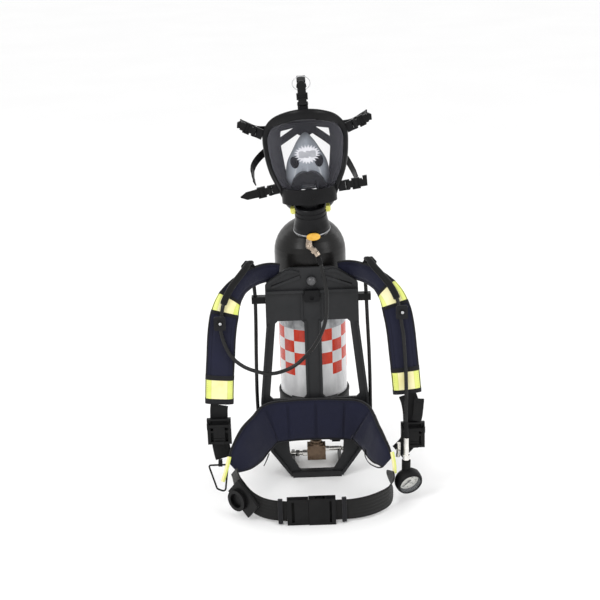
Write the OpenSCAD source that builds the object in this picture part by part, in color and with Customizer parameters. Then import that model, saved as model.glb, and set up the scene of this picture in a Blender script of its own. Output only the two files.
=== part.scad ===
// Self-contained breathing apparatus: cylinder on a carrying frame, with harness, face mask and demand valve.
// X is across (wearer's left is -X), Y runs from the harness side to the cylinder side, Z is up.
// The origin is the centre of the frame's foot, on the floor. All sizes are in millimetres.

/* [Cylinder] */
// Outside radius of the wrapped cylinder
cyl_r = 80; // [76:1:84]
// Distance of the cylinder axis behind the frame
cyl_y = 96; // [92:1:110]
// Height where the top dome starts
cyl_top = 538; // [520:1:560]
// Height where the bottom dome starts
cyl_bot = 190; // [180:1:200]
// Thickness of the rubber cap and of the boot
cap_t = 3; // [2:0.5:4]
// Radius of the handwheel
wheel_r = 24; // [20:1:26]

/* [Frame] */
// Thickness of the backplate web
plate_t = 8; // [6:1:10]
// Half width of the foot bar
foot_w = 58; // [50:1:60]
// Reach of the rear feet behind the frame
foot_reach = 125; // [100:1:130]

/* [Harness] */
// Width of the shoulder pads
pad_w = 64; // [56:1:70]
// Thickness of the shoulder pads
pad_t = 15; // [10:1:18]
// Width of the belt webbing
belt_w = 50; // [40:1:55]
// Width of the shoulder webbing
web_w = 40; // [30:1:44]
// Hose diameter
hose_d = 8.5; // [7:0.5:10]

/* [Mask] */
// Half width of the visor frame
mask_w = 89; // [84:1:92]
// Visor thickness
visor_t = 2.4; // [2:0.2:3]
// Radius of the demand valve's rim
dv_r = 41; // [38:1:42]

/* [Gauge] */
// Radius of the gauge's rubber boot
gauge_r = 31; // [28:1:32]

/* [Hidden] */
$fn = 48;

// ---- curve and sweep helpers ----
function unit(v) = v / norm(v);
function cr(a, b, c, d, t) = 0.5 * (2 * b + (c - a) * t + (2 * a - 5 * b + 4 * c - d) * t * t
  + (3 * b - a - 3 * c + d) * t * t * t);
function smooth(p, k) = let(n = len(p)) concat(
  [for (i = [0:n - 2], j = [0:k - 1]) cr(p[max(i - 1, 0)], p[i], p[i + 1], p[min(i + 2, n - 1)], j / k)],
  [p[n - 1]]);
function tang(p) = let(n = len(p)) [for (i = [0:n - 1]) unit(p[min(i + 1, n - 1)] - p[max(i - 1, 0)])];
function tloop(p) = let(n = len(p)) [for (i = [0:n - 1]) unit(p[(i + 1) % n] - p[(i + n - 1) % n])];
function drop(u, t) = unit(u - (u * t) * t);
function carry(t) = [for (i = 0, u = drop(abs(t[0][2]) < 0.9 ? [0, 0, 1] : [0, 1, 0], t[0]); i < len(t);
  i = i + 1, u = i < len(t) ? drop(u, t[i]) : u) u];
function circ(r, n) = [for (i = [0:n - 1]) [r * cos(360 * i / n), r * sin(360 * i / n)]];
function slab(w, h, c) = [[w / 2 - c, -h / 2], [w / 2, -h / 2 + c], [w / 2, h / 2 - c], [w / 2 - c, h / 2],
  [-w / 2 + c, h / 2], [-w / 2, h / 2 - c], [-w / 2, -h / 2 + c], [-w / 2 + c, -h / 2]];
function ring(p, w, n, s) = [for (q = s) p + q[0] * w + q[1] * n];
function flipx(p) = [for (q = p) [-q[0], q[1], q[2]]];
function part_of(p, a, b) = [for (i = [a:b]) p[i]];

module skin(r, loop = false) {
  m = len(r);
  n = len(r[0]);
  e = loop ? m - 1 : m - 2;
  polyhedron(points = [for (q = r) each q], faces = concat(
    loop ? [] : [[for (i = [0:n - 1]) i]],
    [for (k = [0:e], i = [0:n - 1]) [k * n + i, ((k + 1) % m) * n + (i + 1) % n, k * n + (i + 1) % n]],
    [for (k = [0:e], i = [0:n - 1]) [k * n + i, ((k + 1) % m) * n + i, ((k + 1) % m) * n + (i + 1) % n]],
    loop ? [] : [[for (i = [n - 1:-1:0]) (m - 1) * n + i]]), convexity = 10);
}

module sweep(p, w, s, loop = false) {
  t = loop ? tloop(p) : tang(p);
  skin([for (i = [0:len(p) - 1]) let(a = drop(w[i], t[i])) ring(p[i], a, cross(t[i], a), s)], loop);
}

module tube(p, r, n = 10) {
  sweep(p, carry(tang(p)), circ(r, n));
}

// A band whose width lies in the frontal plane, square to its run
function frontal(p) = [for (t = tang(p)) unit([t[2], 0.0001, -t[0]])];
module flat_band(p, w, t, c = 1) {
  sweep(p, frontal(p), slab(w, t, c));
}

module rod(a, b, r, r2 = 0, n = 32) {
  v = b - a;
  translate(a) rotate([0, acos(v[2] / norm(v)), atan2(v[1], v[0])])
    cylinder(r1 = r, r2 = r2 > 0 ? r2 : r, h = norm(v), $fn = n);
}

// A sheet shape drawn in X and Z, from y0 to y1
module xz(y0, y1) {
  translate([0, y1, 0]) rotate([90, 0, 0]) linear_extrude(y1 - y0) children();
}

module both() {
  children();
  mirror([1, 0, 0]) children();
}

// ---- cylinder ----
function dome(o) = [for (a = [0:9:90]) [(cyl_r + o) * cos(a), cyl_top + (78 + o) * sin(a)]];
function shoulder(o, r0) = let(r1 = cyl_r + o, b = r1 - r0)
  [for (a = [0:10:90]) [r0 + b * sin(a), cyl_bot - b * cos(a)]];
function rev(p) = [for (i = [len(p) - 1:-1:0]) p[i]];

module at_cyl() {
  translate([0, cyl_y, 0]) children();
}

module cylinder_shell() {
  color("#e6e6ea") at_cyl() rotate_extrude($fn = 64)
    polygon(concat(shoulder(0, 18), dome(0), rev(dome(-6)), rev(shoulder(-6, 18))));
}

module cylinder_liner() {
  color("#b8bcc2") at_cyl() rotate_extrude($fn = 64)
    polygon(concat([[12, 118], [18, 118]], shoulder(-6, 18), dome(-6), rev(dome(-9)), rev(shoulder(-9, 18)),
      [[12, 137]]));
}

module cylinder_cap() {
  color("#222222") at_cyl() rotate_extrude($fn = 64)
    polygon(concat([[cyl_r, 470], [cyl_r + cap_t, 470]], dome(cap_t), rev(dome(0))));
}

module cylinder_boot() {
  color("#1c1c1e") at_cyl() rotate_extrude($fn = 64)
    polygon([[cyl_r + 3, 104], [cyl_r + 4, 104], [cyl_r + 4, 184], [cyl_r + 5, 186], [cyl_r + 5, 192],
      [cyl_r + 4, 194], [cyl_r, 194], [cyl_r, 190], [79.6, 182.1], [78.3, 174.7], [cyl_r - 2, 168],
      [cyl_r - 2, 104]]);
}

module cylinder_band() {
  color("#2a2a2c") {
    at_cyl() difference() {
      cylinder(r = cyl_r + 2.7, h = 30, $fn = 64);
      translate([0, 0, -1]) cylinder(r = cyl_r + 0.2, h = 32, $fn = 64);
    }
  }
}

// ---- carrying frame ----
module outline() {
  polygon([[47, 525], [60, 521], [101, 493], [106, 484], [107, 384], [127, 198], [125, 120], [108, 70],
    [64, 5], [foot_w, 0], [-foot_w, 0], [-64, 5], [-108, 70], [-125, 120], [-127, 198], [-107, 384],
    [-106, 484], [-101, 493], [-60, 521], [-47, 525]]);
}

module window() {
  polygon([[19.5, 392], [25.5, 398], [80, 398], [86, 392], [105, 210], [98, 203], [26, 203], [19.5, 210]]);
}

module backplate() {
  color("#343436") {
    difference() {
      union() {
        xz(0, plate_t) difference() {
          outline();
          window();
          mirror([1, 0]) window();
          polygon([[65, 92], [57, 100], [-57, 100], [-65, 92], [-63, 60], [-42, 20], [-36, 16], [36, 16],
            [42, 20], [63, 60]]);
          both() polygon([[62, 488], [90, 478], [92, 484], [64, 494]]);
        }
        // raised edges of the two legs and of the foot arms
        both() xz(-5, 14) polygon([[100, 392], [107, 384], [127, 198], [121, 198]]);
        both() xz(-5, 14) polygon([[127, 198], [125, 120], [119, 122], [121, 198]]);
        both() xz(-6, 14) polygon([[125, 120], [108, 70], [62, 4], [54, 4], [101, 72], [119, 122]]);
        both() xz(-4, 0) polygon([[19.5, 398], [19.5, 206], [14, 206], [14, 398]]);
        // sloping ribs and the ledge of the yoke
        both() xz(-4, 0) polygon([[24, 500], [90, 478], [92, 483], [26, 508]]);
        both() xz(-4, 0) polygon([[26, 516], [58, 512], [98, 488], [101, 493], [60, 518], [47, 522]]);
        both() xz(-8, 0) polygon([[18.5, 466], [104, 466], [104, 473], [18.5, 473]]);
        both() xz(-3, 0) polygon([[21, 400], [26, 400], [26, 466], [21, 466]]);
        // foot bar and rear feet
        translate([-foot_w, -6, 0]) cube([2 * foot_w, 22, 14]);
        both() translate([53, 0, 0]) rotate([90, 0, 90]) linear_extrude(8)
          polygon([[10, 0], [foot_reach, 0], [foot_reach, 12], [30, 24], [10, 32]]);
        // saddles that carry the cylinder
        for (z = [404, 184])
          translate([-54, plate_t, z]) cube([108, 30, 16]);
      }
      for (k = [[404, 0.3], [184, 5.4]])
        translate([0, cyl_y, k[0] - 1]) cylinder(r = cyl_r + k[1], h = 18, $fn = 64);
    }
  }
}

module latch_housing() {
  color("#262628") {
    difference() {
      xz(-14, -8) polygon([[-18, 450], [-15, 446], [15, 446], [18, 450], [16, 474], [-16, 474]]);
      translate([0, -7, 456]) rotate([90, 0, 0]) cylinder(r = 5, h = 8, $fn = 32);
    }
    xz(-8, 0) polygon([[-18, 450], [-15, 446], [15, 446], [18, 450], [16, 474], [-16, 474]]);
    translate([0, -8, 456]) rotate([90, 0, 0]) difference() {
      cylinder(r = 4.4, h = 4, $fn = 32);
      translate([0, 0, 2]) cylinder(r = 2.2, h = 3, $fn = 6);
    }
    // guide for the knob's stem
    translate([0, 0, 495]) rotate([90, 0, 0]) difference() {
      cylinder(r = 9, h = 6, $fn = 32);
      translate([0, 0, -1]) cylinder(r = 4.05, h = 8, $fn = 32);
    }
  }
}

module latch_knob() {
  color("#6e6e70") translate([0, -6.5, 495]) rotate([90, 0, 0]) {
    translate([0, 0, -6]) cylinder(r = 4, h = 6.5, $fn = 32);
    rotate_extrude() polygon([[0, 0], [10.5, 0], [10.5, 3], [8.5, 6.5], [5, 8.6], [0, 9.4]]);
  }
}

// Band latch: two ears on the band hold a pin, and the lever swings on it
module band_ears() {
  color("#8c8f94") translate([14, cyl_y + 88.5, 0]) {
    for (z = [0, 23.5]) difference() {
      union() {
        translate([0, 0, z]) cylinder(r = 5, h = 6);
        translate([-5, -8.2, z]) cube([10, 8.2, 6]);
      }
      translate([0, 0, z - 1]) cylinder(r = 2.5, h = 8, $fn = 32);
    }
    translate([0, 0, -1]) cylinder(r = 2.5, h = 31.5, $fn = 32);
  }
}

module band_lever() {
  color("#9a9da2") translate([14, cyl_y + 88.5, 421 + 14.75]) {
    difference() {
      union() {
        cylinder(r = 5, h = 16, center = true);
        translate([-58, 0.5, -8]) cube([58, 4, 16]);
        translate([-66, 0.5, -6]) cube([9, 6, 12]);
      }
      cylinder(r = 2.55, h = 20, center = true, $fn = 32);
    }
  }
}

// ---- valve, reducer and fittings ----
module valve_body() {
  color("#a9a59c") at_cyl() {
    translate([0, 0, 6]) cylinder(r = 12, h = 4, $fn = 32);
    difference() {
      union() {
        translate([0, 0, 28]) cylinder(r = 15, h = 90, $fn = 48);
        translate([0, 0, 118]) cylinder(r = 11.9, h = 16, $fn = 32);
        rod([0, 0, 44], [0, -17, 44], 11);
        rod([0, 0, 70], [32, 0, 70], 11);
        rod([32, 0, 70], [66, 0, 70], 4);
        rod([-12, 0, 70], [-24, 0, 70], 6, n = 6);
      }
      rod([0, 5, 44], [0, -18, 44], 6);
    }
    translate([0, 0, 10]) cylinder(r = 15, h = 18, $fn = 48);
  }
}

module valve_handwheel() {
  color("#1b1b1d") translate([34, cyl_y, 70]) rotate([0, 90, 0]) difference() {
    union() {
      cylinder(r = wheel_r - 4, h = 6);
      translate([0, 0, 5]) cylinder(r = wheel_r, h = 20, $fn = 64);
      translate([0, 0, 24]) cylinder(r1 = wheel_r, r2 = wheel_r - 6, h = 4, $fn = 64);
    }
    translate([0, 0, -1]) cylinder(r = 4.06, h = 40, $fn = 32);
    for (a = [0:45:315]) rotate([0, 0, a]) translate([wheel_r + 3, 0, 4]) cylinder(r = 6, h = 30, $fn = 24);
  }
}

module reducer_body() {
  color("#8a6f58") {
    difference() {
      union() {
        translate([-22, 32, 27]) cube([44, 28, 36]);
        translate([0, 46, 63]) cylinder(r = 15, h = 5);
        translate([0, 46, 68]) cylinder(r = 12, h = 6, $fn = 6);
        rod([0, 60, 44], [0, 63, 44], 12);
        rod([0, 63, 44], [0, 77, 44], 8);
      }
      rod([-23, 46, 40], [-10, 46, 40], 5.5);
      rod([23, 46, 50], [10, 46, 50], 4);
      rod([0, 78, 44], [0, 50, 44], 3.5);
      translate([0, 46, 56]) cylinder(r = 9, h = 10);
    }
  }
}

module hand_nut() {
  color("#77736b") translate([0, 63.4, 44]) rotate([-90, 0, 0]) difference() {
    cylinder(r = 15, h = 13.2, $fn = 12);
    translate([0, 0, -1]) cylinder(r = 8.06, h = 16, $fn = 32);
  }
}

module outlet_fittings() {
  color("#d8d8d4") {
    rod([-10.5, 46, 40], [-22, 46, 40], 5.5);
    rod([-22, 46, 40], [-33, 46, 40], 8.5, n = 6);
    rod([-33, 46, 40], [-41, 46, 40], 6);
    rod([-41, 46, 40], [-50, 46, 40], 8.5, n = 6);
    rod([-50, 46, 40], [-62, 46, 40], 6);
    rod([10.5, 46, 50], [22, 46, 50], 4);
    rod([22, 46, 50], [31, 46, 50], 7, n = 6);
    rod([31, 46, 50], [55, 46, 50], 5.5);
  }
}

// ---- hoses ----
supply_pts = [[-62.1, 46, 40], [-88, 45, 40], [-116, 38, 66], [-133, 27, 130], [-136, 21, 200], [-134, 19, 300],
  [-131, 17, 390], [-130, 15, 452], [-132, 19, 488], [-134, 16, 517], [-135, 1, 540], [-140, -27, 546],
  [-151.5, -50.5, 536.5], [-168.1, -72.3, 521.4], [-183.3, -93.4, 504.9], [-195.6, -110.3, 481.4],
  [-201.1, -119.3, 454.3], [-203.8, -122.8, 425.8], [-196, -125, 391], [-181, -123, 360], [-157, -118, 336],
  [-129, -112, 321], [-100, -108, 313], [-69, -104, 317], [-37, -102, 333], [-3, -100, 367], [17, -98, 400],
  [29, -96, 436], [32, -94, 478], [31, -92, 504], [27, -89, 533], [21, -86, 558], [16, -84.4, 574]];
gauge_pts = [[55.1, 46, 50], [84, 45, 50], [112, 38, 74], [129, 27, 130], [131, 21, 200], [130, 19, 300], [127, 17, 390],
  [125, 15, 452], [124, 19, 488], [125, 16, 517], [126, 1, 540], [131, -27, 546], [141.5, -50.5, 536.5],
  [158.1, -72.3, 521.4], [173.3, -93.4, 504.9], [185.6, -110.3, 481.4], [191.1, -119.3, 454.3],
  [194.3, -122.8, 425.9], [198, -126, 400], [201, -126, 350], [203, -126, 300], [203, -129, 255],
  [201, -140, 222], [200.5, -146, 192], [201, -146.5, 163]];

module supply_hose() {
  color("#262628") tube(smooth(supply_pts, 2), hose_d / 2, 10);
}

module gauge_hose() {
  color("#262628") tube(smooth(gauge_pts, 2), hose_d / 2, 10);
}

module hose_clips() {
  color("#1a1a1c") for (s = [-1, 1]) difference() {
    union() {
      translate([s < 0 ? -138 : 106.6, 5, 440]) cube([s < 0 ? 31.4 : 28.7, 18, 16]);
    }
    tube(smooth(part_of(s < 0 ? supply_pts : gauge_pts, 5, 9), 3), hose_d / 2 + 0.4, 16);
  }
}

// Webbing sleeves that hold the hoses on the pads, and their snap patches
module hose_keepers() {
  color("#161618") for (s = [-1, 1]) {
    p = smooth(part_of(s < 0 ? supply_pts : gauge_pts, 12, 16), 3);
    difference() {
      flat_band(part_of(p, 1, 8), 15, 11, 3);
      tube(p, hose_d / 2 + 0.4, 12);
      side(s) pad(s < 0 ? pad_path_l : pad_path, 3, 7, 24);
    }
translate(s < 0 ? [-207, -126.6, 437] : [197, -126.4, 437]) rotate([90, 0, 0]) cylinder(r = 4.5, h = 2);
  }
}

// ---- shoulder harness ----
// Run of a pad from the yoke, over the shoulder and down; the left one is its mirror image
pad_pts = [[68, 21, 508], [92, 18, 511], [115, 0, 512], [140, -32, 510], [162, -64, 501], [180, -92, 482],
  [191, -106, 450], [198, -110, 410], [203, -111, 358], [208, -111, 305], [212, -109, 256]];
pad_path = smooth(pad_pts, 3);
// The left pad hangs a little longer; both grow wider from the yoke down
pad_path_l = smooth(concat(part_of(pad_pts, 0, 9), [[212, -109, 246]]), 3);
function pw(i) = pad_w - 18 * min(1, max(0, (18 - i) / 7));

module side(s) {
  translate([-5, 0, 0]) mirror([s < 0 ? 1 : 0, 0, 0]) children();
}

module pad(p, o, a, b) {
  t = tang(p);
  f = frontal(p);
  skin([for (i = [a:b]) let(w = drop(f[i], t[i])) ring(p[i], w, cross(t[i], w), slab(pw(i) + o, pad_t + o, 4 + o / 5))]);
}

module shoulder_pad_left() {
  color("#1d2038") side(-1) pad(pad_path_l, 0, 0, 30);
}

module shoulder_pad_right() {
  color("#1d2038") difference() {
    side(1) pad(pad_path, 0, 0, 30);
    xz(-6, 8.5) offset(delta = 0.5) outline();
  }
}

module reflective_bands() {
  color("#dcea54") {
    for (k = [[-1, 14, 18], [-1, 26, 29], [1, 13, 17], [1, 26, 29]]) side(k[0]) difference() {
      pad(k[0] < 0 ? pad_path_l : pad_path, 2.4, k[1], k[2]);
      pad(k[0] < 0 ? pad_path_l : pad_path, 0.8, k[1] - 1, k[2] + 1);
    }
    // strips on the outer edges of the hip pad
    flat_band([[-199, -142, 128], [-204, -148, 110], [-210, -154, 92], [-216, -158, 74]], 9, 3);
    flat_band([[169, -142, 126], [171.5, -146, 110], [173.4, -150, 94], [173.4, -154, 80]], 9, 3);
  }
}

module shoulder_webbing() {
  color("#141416") {
    flat_band([[-217, -109, 242], [-219, -109, 230], [-220, -109, 200], [-220, -109, 160], [-218, -110, 138],
      [-215, -112, 120], [-213, -112, 112]], web_w, 2.6);
    flat_band([[207, -109, 252], [213, -109, 232], [217, -109, 200], [217, -109, 150], [211, -110, 130],
      [197, -113, 114], [188, -116, 106]], web_w, 2.6);
    // free end above the right adjuster
    flat_band([[226, -123, 192], [229, -122, 204], [232, -121, 222], [233, -120, 240]], 22, 2.6);
    // loop that carries the ring
    difference() {
      translate([-225, -137.5, 99]) cube([8, 9, 10]);
      translate([-226, -136, 101]) cube([10, 6, 6]);
    }
    translate([-225, -129, 105]) cube([8, 10, 5]);
  }
}

// Slider frame with a cross pin; its lever clamps the webbing
adj_l = [-220, -112, 182];
adj_r = [218, -112, 157];

module adjuster() {
  difference() {
    translate([-27, -11.5, -31]) cube([54, 9.5, 62]);
    translate([-19.5, -15, -25]) cube([39, 14, 22]);
    translate([-19.5, -15, 3]) cube([39, 14, 24]);
  }
  for (x = [-27, 22.5]) translate([x, -20, 9]) cube([4.5, 10, 14]);
  rod([-23, -16, 16], [23, -16, 16], 2.2);
}

module adjuster_lever() {
  difference() {
    union() {
      rod([-22, -16, 16], [22, -16, 16], 4);
      translate([-13, -18.5, -27]) cube([26, 4, 43]);
      translate([-11, -21.5, -27]) cube([22, 4, 7]);
      translate([-13, -20, -16]) cube([26, 3, 3]);
    }
    rod([-24, -16, 16], [24, -16, 16], 2.26);
  }
}

module adjuster_frames() {
  color("#18181a") {
    translate(adj_l) adjuster();
    translate(adj_r) adjuster();
  }
}

module adjuster_lever_left() {
  color("#1f1f21") translate(adj_l) adjuster_lever();
}

module adjuster_lever_right() {
  color("#1f1f21") translate(adj_r) adjuster_lever();
}

ring_path = [for (q = [[-243, 104], [-225, 104], [-208, 104], [-205.4, 102.8], [-204.8, 99], [-205.6, 92], [-212, 44],
  [-213.4, 40], [-216.5, 38.2], [-220, 38.6], [-229, 42.5], [-231.8, 45], [-233, 49], [-246, 97], [-246.6, 101],
  [-245.6, 103.4]]) [q[0], -133, q[1]]];
module d_ring() {
  color("#1d1d20") sweep(ring_path, [for (q = ring_path) [0, 1, 0]], circ(2.1, 12), true);
}

// ---- hip pad and belt ----
hip = [[[-198, -130, 114], [-188, -136, 80]], [[-187, -112, 146], [-161, -118, 77]],
  [[-160, -74, 177], [-140, -88, 78]], [[-132, -42, 192], [-121, -54, 90]], [[-106, -24, 206], [-98, -31, 104]],
  [[-58, -19, 209], [-54, -24, 107]], [[0, -18, 210], [0, -23, 108]], [[56, -19, 208], [52, -24, 107]],
  [[100, -24, 204], [93, -31, 102]], [[123, -45, 186], [113, -54, 88]], [[141, -82, 162], [128, -88, 76]],
  [[154, -110, 140], [142, -114, 75]], [[164, -128, 112], [154, -132, 77]]];

module lumbar_pad() {
  up = smooth([for (h = hip) h[0]], 2);
  lo = smooth([for (h = hip) h[1]], 2);
  mid = (up + lo) / 2;
  t = tang(mid);
  color("#1b1e34") skin([for (i = [0:len(mid) - 1]) let(w = drop(up[i] - lo[i], t[i]),
    h = norm(up[i] - lo[i]), e = min(i, len(mid) - 1 - i)) ring(mid[i], w, cross(t[i], w),
    slab(h, min(15, 9 + 2 * e), 4))]);
}

belt_l = smooth([[-190, -143, 92], [-180, -163, 68], [-160, -186, 46], [-134, -208, 36], [-106, -222, 33],
  [-72, -230, 32]], 3);
belt_rt = smooth([[36, -230, 32], [74, -228, 32], [106, -218, 32], [134, -200, 32], [158, -176, 34],
  [166, -156, 50], [164, -143, 80]], 3);

module belt_run(p, w, t) {
  sweep(p, [for (q = p) [0, 0.001, 1]], slab(w, t, 1));
}

module waist_belt() {
  color("#141416") {
    belt_run(belt_l, belt_w, 3);
    belt_run(belt_rt, belt_w, 3);
    for (s = [-1, 1]) translate([s < 0 ? -92 : 50, -229, 3]) rotate([0, 0, s * 4]) difference() {
      translate([0, -5, 0]) cube([10, 12, 58]);
      translate([-1, -2.4, 3]) cube([12, 7, 52]);
    }
  }
}

buckle_y = -230;
module buckle_socket() {
  color("#101012") translate([0, buckle_y, 0]) difference() {
    translate([-24, -9, 0]) cube([60, 18, 64]);
    // cavity for the plug's prongs, and the two release windows
    translate([-25, -5.5, 6]) cube([42, 11, 52]);
    for (z = [-1, 56]) translate([-10, -5.5, z]) cube([22, 11, 9]);
    translate([22, -10, 6]) cube([5, 20, 52]);
    translate([30, -1.6, 6]) cube([8, 3.2, 52]);
  }
}

module buckle_plug() {
  color("#101012") translate([0, buckle_y, 0]) difference() {
    union() {
      translate([-72, -8, 1]) cube([47.6, 16, 62]);
      translate([-25, -4, 27]) cube([34, 8, 10]);
    }
    translate([-62, -9, 7]) cube([6, 20, 50]);
    translate([-73, -1.6, 7]) cube([6, 3.2, 50]);
    for (z = [8.5, 39.5]) translate([-40, -5, z]) cube([17, 10, 16]);
  }
}

module prong() {
  translate([0, buckle_y, 0]) {
    translate([-39, -4, 44]) cube([39, 8, 7]);
    translate([-6, -4, 44]) cube([14, 8, 17.5]);
  }
}

module prong_upper() {
  color("#131315") prong();
}

module prong_lower() {
  color("#131315") translate([0, 0, 64]) mirror([0, 0, 1]) prong();
}

// Parking plate and ring for the demand valve, on the left of the belt
module valve_holder() {
  color("#121214") translate([-163, -190, 50]) rotate([0, 0, -41]) {
    difference() {
      rotate([0, 40, 0]) translate([-38, -12, -24]) cube([76, 7, 48]);
      translate([-14, -9, -6]) rotate([90, 0, 0]) cylinder(r = 12, h = 30);
    }
    translate([-14, -11, -6]) rotate([90, 0, 0]) difference() {
      cylinder(r = 25, h = 9);
      translate([0, 0, -1]) cylinder(r = 17, h = 12);
    }
  }
}

// ---- pressure gauge ----
gauge_c = [206, -148, 53];
module at_gauge() {
  translate(gauge_c) rotate([0, 107.6, -71.5]) children();
}

module gauge_boot() {
  color("#17171a") {
    at_gauge() difference() {
      rotate_extrude($fn = 64) polygon([[0, -22], [20, -22], [27, -18], [gauge_r, -11], [gauge_r + 0.6, -3],
        [gauge_r, 4], [29, 9], [25, 10.5], [24.5, 10.5], [24.5, 7], [24, 7], [24, -4], [0, -4]]);
      translate([0, 0, -5]) cylinder(r = 2, h = 3, $fn = 24);
    }
    difference() {
      rod([200, -143, 72], [200.5, -146, 106], 10);
      rod([200.5, -146, 96], [200.5, -146, 107], 4.06);
      at_gauge() translate([0, 0, -4]) cylinder(r = 24, h = 30, $fn = 64);
    }
  }
}

module gauge_dial() {
  color("#f4f4f0") at_gauge() {
    translate([0, 0, -4]) cylinder(r = 23.8, h = 1.5, $fn = 64);
    translate([0, 0, -3]) cylinder(r = 1.2, h = 5, $fn = 24);
  }
}

module gauge_lens() {
  color("#cfd8dc") at_gauge() translate([0, 0, 7.1]) cylinder(r = 24.4, h = 1.8, $fn = 64);
}

module gauge_needle() {
  color("#151515") at_gauge() rotate([0, 0, 315]) difference() {
    union() {
      cylinder(r = 3.2, h = 1.4, $fn = 24);
      linear_extrude(0.8) polygon([[-6, -1.4], [19, -0.4], [19, 0.4], [-6, 1.4]]);
    }
    translate([0, 0, -1]) cylinder(r = 1.25, h = 4, $fn = 24);
  }
}

module gauge_swivel() {
  color("#cfcfca") {
    rod([200.5, -146, 97], [200.5, -146, 108], 4);
    rod([200.5, -146, 108], [200.5, -146, 120], 8, n = 6);
    rod([200.5, -146, 120], [201, -146.5, 162.5], 5.8);
  }
}

module whistle() {
  color("#c9c9c4") difference() {
    union() {
      rod([184, -124, 106], [185.6, -126, 140], 4.6);
      rod([184, -124, 106], [184.3, -124.4, 112], 5.4);
    }
    rod([183.9, -123.9, 104], [185.4, -125.8, 136], 3.2);
    translate([178, -134, 122]) cube([14, 8, 3]);
  }
}

// ---- face mask, in its own upright frame ----
mask_o = [4.5, -45, 631];
module at_mask() {
  translate(mask_o) rotate([0, -2.4, 0]) children();
}

// Half width of the visor opening against height
function hw(z) = lookup(z, [[62, 46], [74, 52], [84, 57], [98, 64], [124, 77], [150, 84], [175, mask_w - 2],
  [195, mask_w - 1], [212, 85], [228, 76], [240, 64], [249, 48], [255, 30], [259, 12]]);
function bulge(x, z) = -40 + 62 * pow(abs(x) / mask_w, 2) + 0.1 * max(0, z - 110);
// Outline of the frame as a loop, clockwise from the top seen from the front
oz = [259, 257, 251, 242, 230, 214, 196, 176, 152, 126, 102, 84, 72, 66];
half = [for (z = oz) [hw(z) - (z > 258 ? 12 : 0) + (z < 67 ? -22 : 0), z]];
loop2 = concat(half, [for (i = [len(half) - 1:-1:1]) [-half[i][0], half[i][1]]]);
function brow(z) = z > 200 ? 1 + 1.1 * min(1, (z - 200) / 45) : 1;
function face(o, g, dy) = let(n = len(loop2)) [for (i = [0:n - 1]) let(p = loop2[i],
  a = loop2[(i + n - 1) % n], b = loop2[(i + 1) % n], d = unit(b - a),
  q = p + g * (o > 0 ? brow(p[1]) : 1) * [-d[1], d[0]]) [q[0], bulge(p[0], p[1]) + dy, q[1]]];

module visor_frame() {
  color("#1d1d22") at_mask() {
    difference() {
      skin([face(1, 1, -6), face(1, 5, -2), face(0, 6, 14), face(0, -3, 14), face(1, -5, 5), face(1, -6, -4)], true);
      visor_sheet(0.6);
      chin_room();
    }
    for (k = [0:4]) at_lug(k) lug(k == 0 ? 15 : k < 3 ? 20 : 21);
  }
}

// Buckle pivots: place and turn of each, with X pointing away from the mask
lug_at = [[0, -17, 278], [-109, 33, 217], [109, 33, 217], [-85, -4, 92], [85, -4, 92]];
lug_turn = [[0, -90, 0], [0, -28, 180], [0, -22, 0], [0, 9, 180], [0, -6, 0]];

module at_lug(k) {
  translate(lug_at[k]) rotate(lug_turn[k]) children();
}

module lug(reach) {
  difference() {
    union() {
      for (z = [-11, 8]) {
        translate([0, 0, z]) cylinder(r = 4.6, h = 3, $fn = 32);
        translate([-reach, -4, z]) cube([reach, 8, 3]);
      }
      translate([-reach, -4, -11]) cube([reach - 8, reach == 20 ? 5 : 8, 22]);
    }
  }
  cylinder(r = 2, h = 20, center = true, $fn = 32);
}

module strap_buckle(n1, n2) {
  difference() {
    union() {
      cylinder(r = 4.6, h = 15, center = true, $fn = 32);
      translate([2, -3, -7.5]) cube([8, 6, 15]);
      translate([9, -4, -12]) cube([n1, 8, 24]);
      translate([8.5 + n1, -3, -9]) cube([n2, 6, 18]);
    }
    cylinder(r = 2.06, h = 18, center = true, $fn = 32);
    translate([12, -5, -9]) cube([3.4, 10, 18]);
    translate([n1 + 3, -5, -9]) cube([3.4, 10, 18]);
  }
}

module buckle_top() {
  color("#141417") at_mask() at_lug(0) {
    strap_buckle(14, 9);
    translate([0, 0, 0]) xz(-2.5, 2.5) polygon([[31, -6], [36, -11], [42, -10], [50, -3], [50, 3], [42, 10],
      [36, 11], [31, 6]]);
  }
}

module buckle_upper_left() {
  color("#141417") at_mask() at_lug(1) {
    strap_buckle(15, 8);
    xz(-4, 3) polygon([[31, -6], [38, -8], [42, 3], [36, 10], [31, 6]]);
  }
}

module buckle_upper_right() {
  color("#141417") at_mask() at_lug(2) {
    strap_buckle(15, 8);
    xz(-4, 3) polygon([[31, -6], [38, -8], [42, 3], [36, 10], [31, 6]]);
  }
}

module buckle_lower_left() {
  color("#141417") at_mask() at_lug(3) {
    strap_buckle(18, 6);
    xz(-2, 2) polygon([[32, -9], [52, -9], [66, -1], [66, 1], [52, 8], [32, 9]]);
  }
}

module buckle_lower_right() {
  color("#141417") at_mask() at_lug(4) {
    strap_buckle(18, 6);
    xz(-3, 3) polygon([[32, -9], [42, -9], [44, 14], [34, 14], [34, 6], [32, 6]]);
  }
}

// The visor, larger all round by e where it is cut out of the frame's groove
module visor_sheet(e) {
  skin([for (z = [70 - e, 84, 98, 112, 126, 140, 154, 168, 182, 196, 210, 222, 232, 240, 247, 252 + e])
    let(h = hw(z) - 5.6 + e) concat(
      [for (i = [-7:7]) [h * i / 7, bulge(h * i / 7, z) + 0.5 - e, z]],
      [for (i = [7:-1:-7]) [(h - 0.6 * (e > 0 ? 0 : 1)) * i / 7, bulge(h * i / 7, z) + 0.5 + visor_t + e, z]])]);
}

// Room that the chin housing takes in the frame and in the seal
module chin_room() {
  translate([0, -14, 20]) linear_extrude(78.2) polygon(oval(60.4, 37.4, 48));
}

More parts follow.
